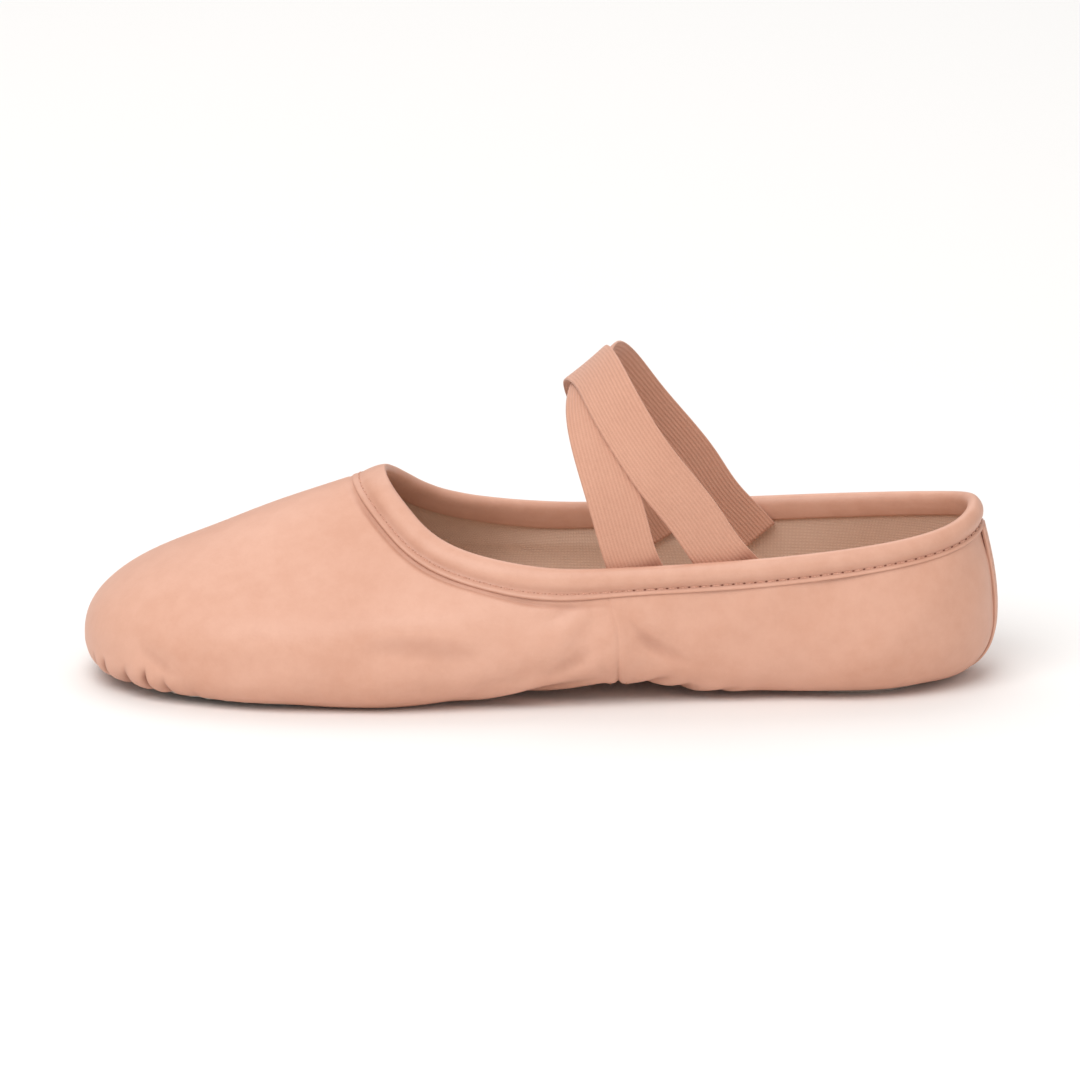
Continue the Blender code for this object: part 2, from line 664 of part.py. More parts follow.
def strap_base(x: float, lean: float) -> np.ndarray:
    """Return the tucked end of a strap inside the collar, from its tip up: points and facings."""
    inside = -WALL - 2.0 * CLEARANCE - BINDING_LEG - 0.5 * STRAP_THICKNESS
    rows = []
    for below in (STRAP_TUCK, 0.5 * STRAP_TUCK, 0.0):
        place = x - lean * below
        stations = np.array([np.interp(place, COLLAR_X(OUTLINE_SHARE), OUTLINE_SHARE)])
        level = 1.0 + climb_below_collar(stations, below)
        facing = ring_normal(stations, level)[0]
        rows.append(np.concatenate([ring_point(stations, level)[0] + inside * facing, facing]))
    return np.array(rows)


def strap_half_steps() -> np.ndarray:
    """Return, for each strap point, the step along the shoe and round it to the strap's edge."""
    angle = np.radians([row.angle_deg for row in STRAP_RUN])
    x = np.array([row.x for row in STRAP_RUN])
    along, around = instep_slopes(x, angle)
    forward = -along * np.gradient(x, angle)[:, None] - around
    across = 0.5 * STRAP_WIDTH * unit(np.cross(forward, np.cross(along, around)))
    slopes = np.stack([along, around], axis=-1)
    return np.array([np.linalg.lstsq(m, v, rcond=None)[0] for m, v in zip(slopes, across)])


def strap_rail(across: int, layer: int, raised: float) -> np.ndarray:
    """Return one long edge of a strap: a side or its middle, on its inner or outer face."""
    steps = strap_half_steps()
    middle_angle = np.radians([row.angle_deg for row in STRAP_RUN])
    angle = middle_angle + across * steps[:, 1]
    x = np.array([row.x for row in STRAP_RUN]) + across * steps[:, 0]
    fade = (STRAP_LIFT_END - np.abs(np.degrees(middle_angle))) / STRAP_LIFT_FADE
    height = raised * np.clip(fade, 0.0, 1.0) + 0.5 * STRAP_THICKNESS * layer
    over = instep_point(x, angle) + height[:, None] * unit(np.cross(*instep_slopes(x, angle)))
    ends = []
    front = strap_base(STRAP_FRONT_X, STRAP_FRONT_LEAN)
    rear = strap_base(STRAP_REAR_X, STRAP_REAR_LEAN)[::-1] * np.array([1, -1, 1, 1, -1, 1])
    for base in (front, rear):
        points, facing = base[:, :3], base[:, 3:]
        sideways = unit(np.cross(np.gradient(points, axis=0), facing))
        edge = points + 0.5 * STRAP_WIDTH * across * sideways
        ends.append(edge + 0.5 * STRAP_THICKNESS * layer * facing)
    return np.vstack([ends[0], over, ends[1]])


def build_strap(name: str, side: float, raised: float) -> None:
    """Make one elastic strap, tucked in at the front on one side and behind on the other."""
    middle = strap_rail(0, 0, raised)
    run = np.concatenate([[0.0], np.linalg.norm(np.diff(middle, axis=0), axis=1).cumsum()])
    at = np.linspace(0.0, run[-1], STRAP_STATIONS)
    loop = []
    for across, layer in ((-1, -1), (0, -1), (1, -1), (1, 1), (0, 1), (-1, 1)):
        rail = strap_rail(across, layer, raised)
        loop.append(np.stack([spline(run, rail[:, k], False)(at) for k in range(3)], axis=-1))
    body = Body()
    numbers = body.add(np.array(loop) * np.array([1.0, side, 1.0]))
    body.skin(np.vstack([numbers, numbers[:1]]))
    body.faces.append(tuple(numbers[:, 0].tolist()))
    body.faces.append(tuple(numbers[:, -1].tolist()))
    body.finish(name, (0.66, 0.34, 0.24), 0.75)


def main() -> None:
    """Clear the file and make every piece of the slipper."""
    for thing in list(bpy.data.objects):
        bpy.data.objects.remove(thing)
    build_upper()
    build_patch("forefoot_sole", FOREFOOT_MIDDLE, FOREFOOT_HALF_LENGTH, forefoot_half_width)
    build_patch("heel_sole", HEEL_PATCH_MIDDLE, HEEL_PATCH_HALF_LENGTH, heel_patch_half_width)
    build_insole()
    build_binding()
    build_heel_strip()
    build_strap("elastic_strap_under", 1.0, 0.0)
    build_strap("elastic_strap_over", -1.0, STRAP_THICKNESS + CLEARANCE)


main()
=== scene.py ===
"""Looks of a split-sole ballet slipper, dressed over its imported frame.

The slipper's form is worked out finely from the same sizes as its solids, and every piece that shows
is a surface on that form. Lengths are millimetres until a mesh is made: x runs from the back of the
heel to the toe tip, y across the shoe and z up from the floor. Meshes are in metres, with the origin
on the floor under the middle of the shoe.
"""

import logging
import math
from dataclasses import dataclass, field
from enum import Enum
from typing import Callable, NamedTuple, Optional, Union

import bmesh
import bpy
import numpy as np
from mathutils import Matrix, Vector

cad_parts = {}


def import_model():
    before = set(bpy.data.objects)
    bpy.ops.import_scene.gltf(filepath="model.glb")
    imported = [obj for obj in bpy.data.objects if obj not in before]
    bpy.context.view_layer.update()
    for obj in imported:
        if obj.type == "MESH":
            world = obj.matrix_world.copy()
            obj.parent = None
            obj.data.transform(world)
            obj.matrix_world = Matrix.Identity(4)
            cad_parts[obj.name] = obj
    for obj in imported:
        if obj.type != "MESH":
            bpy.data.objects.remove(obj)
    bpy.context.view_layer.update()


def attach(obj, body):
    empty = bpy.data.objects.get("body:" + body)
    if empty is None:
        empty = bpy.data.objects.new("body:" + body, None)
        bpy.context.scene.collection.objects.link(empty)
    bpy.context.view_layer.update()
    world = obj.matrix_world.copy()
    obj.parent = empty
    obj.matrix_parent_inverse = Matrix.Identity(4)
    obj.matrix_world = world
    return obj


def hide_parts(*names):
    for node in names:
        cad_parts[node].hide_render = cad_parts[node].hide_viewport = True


LOG = logging.getLogger("slipper")
MM = 0.001
BODY = "root"
PATTERN = "pattern"
# Attribute that holds each point's painted shade, 1 in creases and under edges
MARK = "mark"
WELD = 0.004
LENGTH = 240.0

Array = np.ndarray
Colour = tuple[float, float, float]
Curve = Callable[[Array], Array]
Places = Union[float, Array]
Span = tuple[float, float]


class Side(Enum):
    """The two sides of the shoe, with the sign of y on each."""

    NEAR = 1.0
    FAR = -1.0


class PatchShape(Enum):
    """The two cuts of sole patch."""

    EGG = "egg"
    TEARDROP = "teardrop"


class Section(NamedTuple):
    """One section of the upper, from its widest line up to the collar."""

    station: float
    collar_x: float
    collar_y: float
    collar_z: float
    pitch_deg: float
    widest_z: float
    rise: float
    run: float


class Crease(NamedTuple):
    """A soft trough from one place to another: x and the way up the leather from its widest line."""

    start_x: float
    start_up: float
    end_x: float
    end_up: float
    bow: float
    width: float
    depth: float


class Wave(NamedTuple):
    """A sine wave: its height, its rate in radians for each unit that it runs along, and its phase."""

    height: float
    rate: float
    phase: float

    def at(self, place: Array) -> Array:
        """Return the wave's height at each place."""
        return self.height * np.sin(self.rate * place + self.phase)


class Shade(NamedTuple):
    """How much painted shade a hollow gets: a share of its depth, less an offset, up to a limit."""

    share: float
    offset: float
    limit: float

    def of(self, relief: Array) -> Array:
        """Return the painted shade mark of a place by its relief, hollows being negative."""
        return np.clip(-self.share * relief - self.offset, 0.0, self.limit)


class Softbox(NamedTuple):
    """A square soft light that faces the shoe: its place and side in metres, and its power."""

    name: str
    place: tuple[float, float, float]
    size: float
    watts: float


SECTIONS = (
    Section(0.00, 5.0, 0.0, 46.5, 76.0, 18.5, 10.0, 9.0),
    Section(0.10, 12.0, 17.5, 43.8, 78.0, 18.5, 9.0, 8.0),
    Section(0.22, 41.0, 29.8, 40.0, 82.0, 18.5, 7.0, 7.0),
    Section(0.40, 99.5, 34.8, 36.4, 83.0, 18.0, 6.0, 6.0),
    Section(0.52, 122.0, 34.2, 36.9, 70.0, 17.2, 8.0, 8.0),
    Section(0.63, 141.0, 29.2, 40.4, 50.0, 16.0, 11.0, 15.0),
    Section(0.78, 154.6, 18.6, 48.2, 30.9, 14.2, 13.3, 36.6),
    Section(0.90, 160.4, 8.8, 53.8, 22.2, 13.1, 13.6, 53.6),
    Section(1.00, 162.0, 0.0, 55.7, 19.2, 12.6, 13.6, 60.4),
)

# The arch that the elastics pass over: x, height of its ridge and half width
INSTEP = (
    (60.0, 177.0, 29.6), (80.0, 127.0, 30.6), (90.0, 105.5, 31.2), (97.0, 93.0, 31.4),
    (102.5, 86.4, 31.6), (107.0, 82.2, 31.8), (112.0, 78.2, 32.0), (125.0, 71.0, 32.0),
)

# An elastic's middle line: turn round the instep in degrees, and x
STRAP_RUN = (
    (74.0, 98.9), (58.5, 102.6), (44.0, 105.4), (30.0, 107.0), (15.0, 107.3), (0.0, 106.3),
    (-15.0, 104.4), (-30.0, 101.9), (-46.4, 97.8), (-58.5, 93.3), (-68.0, 88.4), (-79.0, 80.0),
)

# Ways below the collar edge and outside the leather: the thin edge, the soft stitched groove above it
# and the rolled casing, then down the inside
BINDING_PROFILE = (
    (7.4, 0.03), (7.35, 0.4), (6.9, 0.62), (6.3, 0.5), (5.6, 0.24), (4.9, 0.36),
    (4.2, 0.8), (3.3, 1.22), (2.3, 1.42), (1.3, 1.38), (0.3, 1.1), (-0.6, 0.6),
    (-1.1, -0.1), (-1.2, -0.9), (-0.9, -1.7), (0.0, -2.35), (1.5, -2.62), (3.4, -2.6),
    (5.4, -2.4), (6.0, -2.2), (6.05, -1.62), (4.0, -1.6), (1.5, -1.6), (-0.2, -1.6),
    (-0.2, 0.04), (2.0, 0.04), (5.0, 0.04),
)

CREASES = {
    Side.NEAR: (
        Crease(101.5, 10.5, 123.0, 6.5, 1.5, 2.4, 0.5),
        Crease(101.5, 9.0, 113.0, -3.0, 1.0, 2.4, 0.5),
        Crease(102.5, 3.0, 123.0, -10.0, -1.5, 2.8, 0.7),
        Crease(97.5, 11.0, 87.0, -5.0, 1.0, 2.4, 0.48),
        Crease(96.5, 2.0, 78.0, -9.0, -1.2, 2.8, 0.6),
        Crease(131.0, -2.0, 172.0, 3.5, 2.0, 4.5, 0.7),
        Crease(227.0, 3.5, 214.0, -6.0, 0.0, 2.6, 0.5),
        Crease(104.0, -4.0, 142.0, -16.0, 2.0, 3.4, 0.6),
        Crease(102.5, -9.5, 146.0, -35.0, 3.5, 3.3, 1.8),
        Crease(101.5, -19.0, 132.0, -45.0, 2.5, 2.6, 1.7),
        Crease(95.0, -34.0, 75.0, -19.0, 1.0, 1.7, 1.1),
        Crease(96.5, -29.0, 79.0, -13.0, 1.5, 1.8, 1.2),
        Crease(92.0, -38.0, 77.0, -29.0, 0.5, 1.6, 0.95),
        Crease(97.0, -22.0, 84.0, -10.0, -1.0, 1.7, 1.0),
        Crease(88.0, -31.0, 68.0, -14.0, 0.8, 1.6, 0.9),
        Crease(97.0, -37.0, 86.0, -28.0, -0.5, 1.5, 0.95),
    ),
    Side.FAR: (
        Crease(101.5, 13.0, 120.0, 9.5, 1.0, 2.3, 0.6),
        Crease(101.5, 10.0, 115.0, -4.0, 1.0, 2.2, 0.7),
        Crease(97.5, 10.5, 85.0, -2.0, 1.0, 2.4, 0.55),
        Crease(95.0, -36.0, 83.0, -26.0, 0.6, 1.2, 0.4),
        Crease(96.0, -28.0, 82.0, -19.0, 0.8, 1.5, 0.4),
        Crease(93.0, -20.0, 80.0, -14.0, 0.6, 2.0, 0.4),
        Crease(102.0, -10.0, 140.0, -26.0, -2.0, 4.2, 0.7),
        Crease(128.0, -3.0, 168.0, 2.0, 2.0, 4.6, 0.55),
    ),
}

# Slow waves through the leather: height, rates along, across and up, and phase
SWELLS = (
    (1.0, 0.155, 0.05, 0.11, 0.0),
    (0.8, 0.088, 0.0, -0.21, 0.9),
    (0.7, 0.24, 0.19, 0.33, 2.1),
)

SOFTBOXES = (
    Softbox("key_softbox", (0.4, 0.9, 1.3), 1.2, 17.0),
    Softbox("fill_softbox", (-1.1, 1.0, 0.7), 1.4, 1.9),
    Softbox("back_softbox", (0.1, -1.0, 1.35), 1.4, 9.4),
)


def srgb(*screen: int) -> Colour:
    """Turn a screen colour into linear light.

    Args:
        screen: Red, green and blue from 0 to 255.

    Returns:
        The three linear values.
    """
    share = np.array(screen) / 255.0
    linear = np.where(share <= 0.04045, share / 12.92, ((share + 0.055) / 1.055) ** 2.4)
    return tuple(float(value) for value in linear)


def unit(vectors: Array) -> Array:
    """Return vectors scaled to length one along their last axis."""
    return vectors / np.linalg.norm(vectors, axis=-1, keepdims=True)


def stacked(*columns: Array) -> Array:
    """Return columns of values side by side, along a new last axis."""
    return np.stack(columns, axis=-1)


def bump_hill(distance: Array, width: float) -> Array:
    """Return a smooth hill: 1 at distance 0, and exp of minus (distance / width) squared beyond."""
    return np.exp(-(distance / width) ** 2)


def spline(knots: Array, values: Array, level_ends: bool = False) -> Curve:
    """Work out the cubic curve through knots with continuous slope and bend.

    The bend at each knot solves the usual three-term system of a cubic spline, with either no bend
    or no slope at the two ends.

    Args:
        knots: Rising places of the knots.
        values: Value at each knot, along the first axis.
        level_ends: True for no slope at the ends, False for no bend.

    Returns:
        A function from places to values.
    """
    count = len(knots)
    step = np.diff(knots)
    tail = (1,) * (values.ndim - 1)
    slope = np.diff(values, axis=0) / step.reshape(-1, *tail)
    system = np.zeros((count, count))
    inner = np.arange(1, count - 1)
    system[inner, inner - 1] = step[:-1]
    system[inner, inner] = 2.0 * (step[:-1] + step[1:])
    system[inner, inner + 1] = step[1:]
    system[0, 0] = system[-1, -1] = 1.0
    right = np.zeros_like(values, dtype=float)
    right[1:-1] = 6.0 * np.diff(slope, axis=0)
    if level_ends:
        system[0, :2] = 2.0 * step[0], step[0]
        system[-1, -2:] = step[-1], 2.0 * step[-1]
        right[0] = 6.0 * slope[0]
        right[-1] = -6.0 * slope[-1]
    bend = np.linalg.solve(system, right.reshape(count, -1)).reshape(right.shape)

    def curve(at: Array) -> Array:
        """Work out the curve's values.

        Args:
            at: Places along it.

        Returns:
            The value at each place.
        """
        at = np.asarray(at, float)
        k = np.clip(np.searchsorted(knots, at) - 1, 0, count - 2)
        shape = (*at.shape, *tail)
        left = (at - knots[k]).reshape(shape)
        gap = (knots[k + 1] - at).reshape(shape)
        width = step[k].reshape(shape)
        cubic = (bend[k] * gap**3 + bend[k + 1] * left**3) / (6.0 * width)
        start = (values[k] / width - bend[k] * width / 6.0) * gap
        return cubic + start + (values[k + 1] / width - bend[k + 1] * width / 6.0) * left

    return curve


def table_column(rows: tuple, column: str) -> Array:
    """Return one named column of a table as an array."""
    return np.array([getattr(row, column) for row in rows], float)


def run_along(line: Array) -> Array:
    """Return the way run along a line of points up to each point."""
    return np.concatenate([[0.0], np.linalg.norm(np.diff(line, axis=0), axis=-1).cumsum()])


def rise(values: Array, start: Places, width: float) -> Array:
    """Return 0 up to the start, 1 from a width beyond it and an even slope between."""
    return np.clip((values - start) / width, 0.0, 1.0)


def fall(values: Array, end: Places, width: float) -> Array:
    """Return 1 up to a width before the end, 0 from the end on and an even slope between."""
    return np.clip((end - values) / width, 0.0, 1.0)


def eased(share: Array) -> Array:
    """Return a share from 0 to 1 with a soft start and a soft end."""
    return share * share * (3.0 - 2.0 * share)


def ring_turns(count: int) -> Array:
    """Return evenly spaced turns round a full circle, without the first one again."""
    return np.linspace(0.0, 2.0 * math.pi, count + 1)[:-1]


def grid_faces(numbers: Array) -> list[list[int]]:
    """Work out the faces over grids of points.

    Args:
        numbers: Point numbers, with a grid's rows and columns along the last two axes.

    Returns:
        The four corners of each face.
    """
    low, high = numbers[..., :-1, :], numbers[..., 1:, :]
    corners = low[..., :-1], low[..., 1:], high[..., 1:], high[..., :-1]
    return stacked(*corners).reshape(-1, 4).tolist()


Number = Union[float, "Signal"]


class Signal:
    """A shader socket that takes part in Python arithmetic: every operator adds one Math node."""

    def __init__(self, graph: "ShaderGraph", socket: bpy.types.NodeSocket) -> None:
        """Keep the graph that the socket belongs to and the socket."""
        self.graph = graph
        self.socket = socket

    def __add__(self, other: Number) -> "Signal":
        """Return the sum."""
        return self.graph.math("ADD", self, other)

    def __radd__(self, other: Number) -> "Signal":
        """Return the sum with a plain number first."""
        return self.graph.math("ADD", other, self)

    def __sub__(self, other: Number) -> "Signal":
        """Return the difference."""
        return self.graph.math("SUBTRACT", self, other)

    def __rsub__(self, other: Number) -> "Signal":
        """Return a plain number less this value."""
        return self.graph.math("SUBTRACT", other, self)

    def __mul__(self, other: Number) -> "Signal":
        """Return the product."""
        return self.graph.math("MULTIPLY", self, other)

    def __rmul__(self, other: Number) -> "Signal":
        """Return the product with a plain number first."""
        return self.graph.math("MULTIPLY", other, self)

    def wave(self, pitch: float) -> "Signal":
        """Return a wave from 0 to 1 that repeats each time this value grows by the pitch."""
        return self.graph.math("SINE", self * (2.0 * math.pi / pitch)) * 0.5 + 0.5

    def ramp(self, low: float, high: float) -> "Signal":
        """Return 0 below low, 1 above high and a smooth step between."""
        sockets = {"Value": self, "From Min": low, "From Max": high}
        return self.graph.node("ShaderNodeMapRange", {"interpolation_type": "SMOOTHSTEP"}, sockets)


class ShaderGraph:
    """One material's nodes, built from Python expressions."""

    def __init__(self, name: str) -> None:
        """Make a material with its usual surface shader.

        Args:
            name: The material's name.
        """
        self.material = bpy.data.materials.new(name)
        self.material.use_nodes = True
        self.tree = self.material.node_tree
        self.shader = self.tree.nodes["Principled BSDF"]

    def feed(self, socket: bpy.types.NodeSocket, value: object) -> None:
        """Link a signal to a socket, or set a plain value on it.

        Args:
            socket: The input socket.
            value: A signal, a number or a colour.
        """
        if isinstance(value, Signal):
            self.tree.links.new(value.socket, socket)
        else:
            socket.default_value = value

    def node(self, kind: str, settings: dict, sockets: dict, output: Union[int, str] = 0) -> Signal:
        """Add a node.

        Args:
            kind: The node's type name.
            settings: Its own settings, set before its sockets.
            sockets: Values or signals by input name or number.
            output: The output to return, by name or number.

        Returns:
            The chosen output.
        """
        node = self.tree.nodes.new(kind)
        for key, value in settings.items():
            setattr(node, key, value)
        for key, value in sockets.items():
            self.feed(node.inputs[key], value)
        return Signal(self, node.outputs[output])

    def math(self, operation: str, first: Number, second: Number = 0.0) -> Signal:
        """Add a Math node of the given operation."""
        return self.node("ShaderNodeMath", {"operation": operation}, {0: first, 1: second})

    def mix(self, share: Number, under: object, over: object) -> Signal:
        """Lay one colour over another.

        Args:
            share: How much of the upper colour shows, 0 to 1.
            under: The lower colour, a signal or a linear colour.
            over: The upper colour, a signal or a linear colour.

        Returns:
            The mixed colour.
        """
        settings = {"data_type": "RGBA", "clamp_factor": True}
        pair = [value if isinstance(value, Signal) else (*value, 1.0) for value in (under, over)]
        return self.node("ShaderNodeMix", settings, {0: share, 6: pair[0], 7: pair[1]}, 2)

    def place(self) -> Signal:
        """Return the place on the piece, in metres."""
        return self.node("ShaderNodeTexCoord", {}, {}, "Object")

    def pattern(self) -> tuple[Signal, Signal]:
        """Read the piece's own pattern map.

        Returns:
            Its two lengths, in millimetres.
        """
        where = self.node("ShaderNodeUVMap", {"uv_map": PATTERN}, {})
        parts = self.node("ShaderNodeSeparateXYZ", {}, {0: where})
        return parts, Signal(self, parts.socket.node.outputs[1])

    def mark(self) -> Signal:
        """Return the piece's own mark of painted shade, 1 in creases and under edges and 0 elsewhere."""
        return self.node("ShaderNodeAttribute", {"attribute_name": MARK}, {}, "Fac")

    def noise(self, size: float, detail: float = 2.0, roughness: float = 0.5) -> Signal:
        """Return even noise about 0.5, with blotches of the given size in millimetres."""
        sockets = {"Scale": 1.0 / (size * MM), "Detail": detail, "Roughness": roughness}
        return self.node("ShaderNodeTexNoise", {}, {"Vector": self.place(), **sockets})

    def cells(self, size: float) -> Signal:
        """Return the soft distance to the nearest pore, for pores of the given size in millimetres."""
        sockets = {"Vector": self.place(), "Scale": 1.0 / (size * MM), "Smoothness": 0.6}
        return self.node("ShaderNodeTexVoronoi", {"feature": "SMOOTH_F1"}, sockets)

    def bump(self, height: Signal, depth: float) -> Signal:
        """Return the surface direction over a height, with its depth in millimetres."""
        return self.node("ShaderNodeBump", {}, {"Height": height, "Distance": depth * MM})

    def surface(self, **sockets: object) -> bpy.types.Material:
        """Set the surface shader's sockets.

        Args:
            sockets: Values or signals by socket name, with spaces written as underscores.

        Returns:
            The material.
        """
        for name, value in sockets.items():
            self.feed(self.shader.inputs[name.replace("_", " ")], value)
        return self.material


@dataclass(frozen=True)
class Leather:
    """Soft smooth leather: cloudy colour, fine pores and a low sheen, with painted shade in its creases.
    """

    name: str
    pale: Colour
    deep: Colour
    # painted shade colour for creases, grooves and under edges
    crease: Colour
    roughness: float
    coat: float
    cloud_size: float = 34.0
    mottle_size: float = 4.5
    grain_size: float = 0.8
    pore_size: float = 0.9
    wrinkle_size: float = 2.6
    relief: float = 0.05

    def material(self) -> bpy.types.Material:
        """Build the leather's material.

        Colour drifts between pale and deep with wide clouds and small mottling, and turns to the crease
        colour, a painted shade, by the piece's mark in creases, grooves and under edges. Height is pores,
        fine grain and short soft wrinkles.

        Returns:
            The material.
        """
        graph = ShaderGraph(self.name)
        clouds = graph.noise(self.cloud_size, detail=3.0).ramp(0.3, 0.7)
        mottling = graph.noise(self.mottle_size, detail=4.0, roughness=0.6)
        grain = graph.noise(self.grain_size, detail=3.0, roughness=0.6)
        pores = graph.cells(self.pore_size)
        wrinkles = graph.noise(self.wrinkle_size)
        tone = clouds * 0.55 + mottling.ramp(0.25, 0.75) * 0.35 + grain * 0.2 - 0.05
        colour = graph.mix(tone, self.deep, self.pale)
        # painted shade: the crease colour laid on by the mark in creases, grooves and under edges
        colour = graph.mix(graph.mark() * 0.85, colour, self.crease)
        height = pores * 0.5 + grain * 0.5 + wrinkles * 1.6
        return graph.surface(
            Base_Color=colour,
            Roughness=self.roughness + mottling * 0.16 - 0.08 + grain * 0.06,
            Normal=graph.bump(height, self.relief),
            Coat_Weight=self.coat,
            Coat_Roughness=0.42,
            Specular_IOR_Level=0.42,
        )


@dataclass(frozen=True)
class Suede:
    """Brushed suede: a matt nap in soft patches, with painted shade in the furrows along its stitches and
    at its edge.
    """

    name: str
    pale: Colour
    deep: Colour
    # painted shade colour for the stitch furrows and the edge
    pressed: Colour
    patch_size: float = 11.0
    fibre_size: float = 0.75
    fluff_size: float = 1.9
    relief: float = 0.16

    def material(self) -> bpy.types.Material:
        """Build the suede's material.

        Colour goes from deep to pale by nap patches and fibres, and towards the painted shade colour by
        the piece's mark, in the stitch furrows and at the edge. Height is fibres at two sizes over the
        patches.

        Returns:
            The material.
        """
        graph = ShaderGraph(self.name)
        patches = graph.noise(self.patch_size, detail=4.0, roughness=0.6).ramp(0.3, 0.72)
        fibres = graph.noise(self.fibre_size, detail=3.0, roughness=0.7)
        fluff = graph.noise(self.fluff_size, detail=3.0, roughness=0.6)
        tone = patches * 0.35 + fibres.ramp(0.3, 0.7) * 0.4 + fluff.ramp(0.3, 0.7) * 0.3
        colour = graph.mix(tone, self.deep, self.pale)
        # painted shade in the stitch furrows and round the patch edge
        colour = graph.mix(graph.mark() * 0.6, colour, self.pressed)
        height = fibres * 0.6 + fluff * 0.7 + patches * 0.2
        return graph.surface(
            Base_Color=colour,
            Roughness=0.9 + fibres * 0.1,
            Normal=graph.bump(height, self.relief),
            Sheen_Weight=0.25,
            Sheen_Roughness=0.6,
            Specular_IOR_Level=0.15,
        )


@dataclass(frozen=True)
class Cotton:
    """Plain woven cotton with threads of a given pitch."""

    name: str
    pale: Colour
    deep: Colour
    pitch: float
    cloud_size: float = 16.0
    slub_size: float = 1.2
    relief: float = 0.08

    def material(self) -> bpy.types.Material:
        """Build the cotton's material.

        The weave is the product of two waves along the pattern map, one for each way of the threads.
        Colour follows the weave a little and drifts with soft clouds.

        Returns:
            The material.
        """
        graph = ShaderGraph(self.name)
        along, across = graph.pattern()
        weave = along.wave(self.pitch) * across.wave(self.pitch)
        clouds = graph.noise(self.cloud_size, detail=3.0)
        slub = graph.noise(self.slub_size)
        colour = graph.mix(weave * 0.4 + clouds * 0.5 + slub * 0.2, self.deep, self.pale)
        return graph.surface(
            Base_Color=colour,
            Roughness=0.88 + slub * 0.1,
            Normal=graph.bump(weave + slub * 0.5, self.relief),
            Sheen_Weight=0.15,
            Specular_IOR_Level=0.2,
        )


@dataclass(frozen=True)
class Elastic:
    """Ribbed woven elastic: fine ribs along the strap, crossed by a close weave."""

    name: str
    pale: Colour
    deep: Colour
    # painted shade colour where the strap meets the collar
    shaded: Colour
    rib: float
    weft: float
    cloud_size: float = 14.0
    streak_size: float = 1.1
    relief: float = 0.11

    def material(self) -> bpy.types.Material:
        """Build the elastic's material.

        Ribs are a wave across the strap and the weft a finer wave along it. Both give height, and the
        furrows between ribs are the deeper colour. The shaded colour is painted shade, laid on by the
        piece's mark where the strap meets the collar.

        Returns:
            The material.
        """
        graph = ShaderGraph(self.name)
        across, along = graph.pattern()
        ribs = across.wave(self.rib)
        weft = (along + ribs * (0.5 * self.weft)).wave(self.weft)
        clouds = graph.noise(self.cloud_size, detail=3.0)
        streaks = graph.noise(self.streak_size, detail=3.0, roughness=0.6)
        tone = ribs * 0.28 + weft * 0.12 + clouds * 0.42 + streaks * 0.32 - 0.08
        colour = graph.mix(tone, self.deep, self.pale)
        # painted shade on the outer face next to the collar
        colour = graph.mix(graph.mark() * 0.62, colour, self.shaded)
        return graph.surface(
            Base_Color=colour,
            Roughness=0.68 + weft * 0.12,
            Normal=graph.bump(ribs + weft * 0.3 + streaks * 0.4, self.relief),
            Sheen_Weight=0.2,
            Specular_IOR_Level=0.3,
        )


@dataclass(frozen=True)
class Thread:
    """Twisted sewing thread, or the painted shade of a needle hole."""

    name: str
    pale: Colour
    deep: Colour
    roughness: float = 0.6
    twist_size: float = 0.45
    relief: float = 0.06

    def material(self) -> bpy.types.Material:
        """Build the thread's material: two tones in short twists, with a slight height.

        Returns:
            The material.
        """
        graph = ShaderGraph(self.name)
        twist = graph.noise(self.twist_size)
        return graph.surface(
            Base_Color=graph.mix(twist.ramp(0.3, 0.7), self.deep, self.pale),
            Roughness=self.roughness + twist * 0.15,
            Normal=graph.bump(twist, self.relief),
        )


@dataclass(frozen=True)
class PaperFloor:
    """Seamless pale studio paper."""

    name: str
    colour: Colour
    tooth_size: float = 1.5

    def material(self) -> bpy.types.Material:
        """Build the paper's material: almost even, with a faint tooth.

        Returns:
            The material.
        """
        graph = ShaderGraph(self.name)
        tooth = graph.noise(self.tooth_size)
        return graph.surface(
            Base_Color=graph.mix(tooth * 0.06, self.colour, (1.0, 1.0, 1.0)),
            Roughness=0.85 + tooth * 0.1,
            Specular_IOR_Level=0.1,
        )


# Each leather's third colour is painted shade for its creases, grooves and edges
UPPER_LEATHER = Leather(
    "upper_leather", srgb(220, 170, 147), srgb(208, 154, 129), srgb(142, 84, 62), 0.46, 0.06
)
BINDING_LEATHER = Leather(
    "binding_leather", srgb(220, 170, 147), srgb(205, 151, 126), srgb(140, 82, 60), 0.44, 0.08
)
# The suede's third colour is painted shade for its stitch furrows and edge
SOLE_SUEDE = Suede("sole_suede", srgb(199, 187, 179), srgb(172, 158, 150), srgb(146, 132, 124))
LINING_COTTON = Cotton("lining_cotton", srgb(226, 194, 172), srgb(206, 170, 148), 0.9)
INSOLE_COTTON = Cotton("insole_cotton", srgb(226, 210, 193), srgb(204, 186, 167), 1.1)
# The elastic's third colour is painted shade where it meets the collar
STRAP_ELASTIC = Elastic(
    "strap_elastic", srgb(221, 168, 143), srgb(190, 135, 111), srgb(142, 82, 61), 0.95, 0.62
)
SOLE_THREAD = Thread("sole_thread", srgb(216, 206, 197), srgb(190, 177, 168))
UPPER_THREAD = Thread("upper_thread", srgb(216, 164, 141), srgb(186, 130, 106))
# Dark colours that stand for the shade inside needle holes: painted shade
NEEDLE_HOLE_SHADE = Thread("needle_hole", srgb(92, 76, 68), srgb(66, 54, 48), 0.9)
SEAM_HOLE_SHADE = Thread("seam_hole_shade", srgb(136, 82, 62), srgb(112, 66, 50), 0.9)
SOFT_HOLE_SHADE = Thread("soft_hole_shade", srgb(188, 134, 110), srgb(168, 114, 92), 0.8)


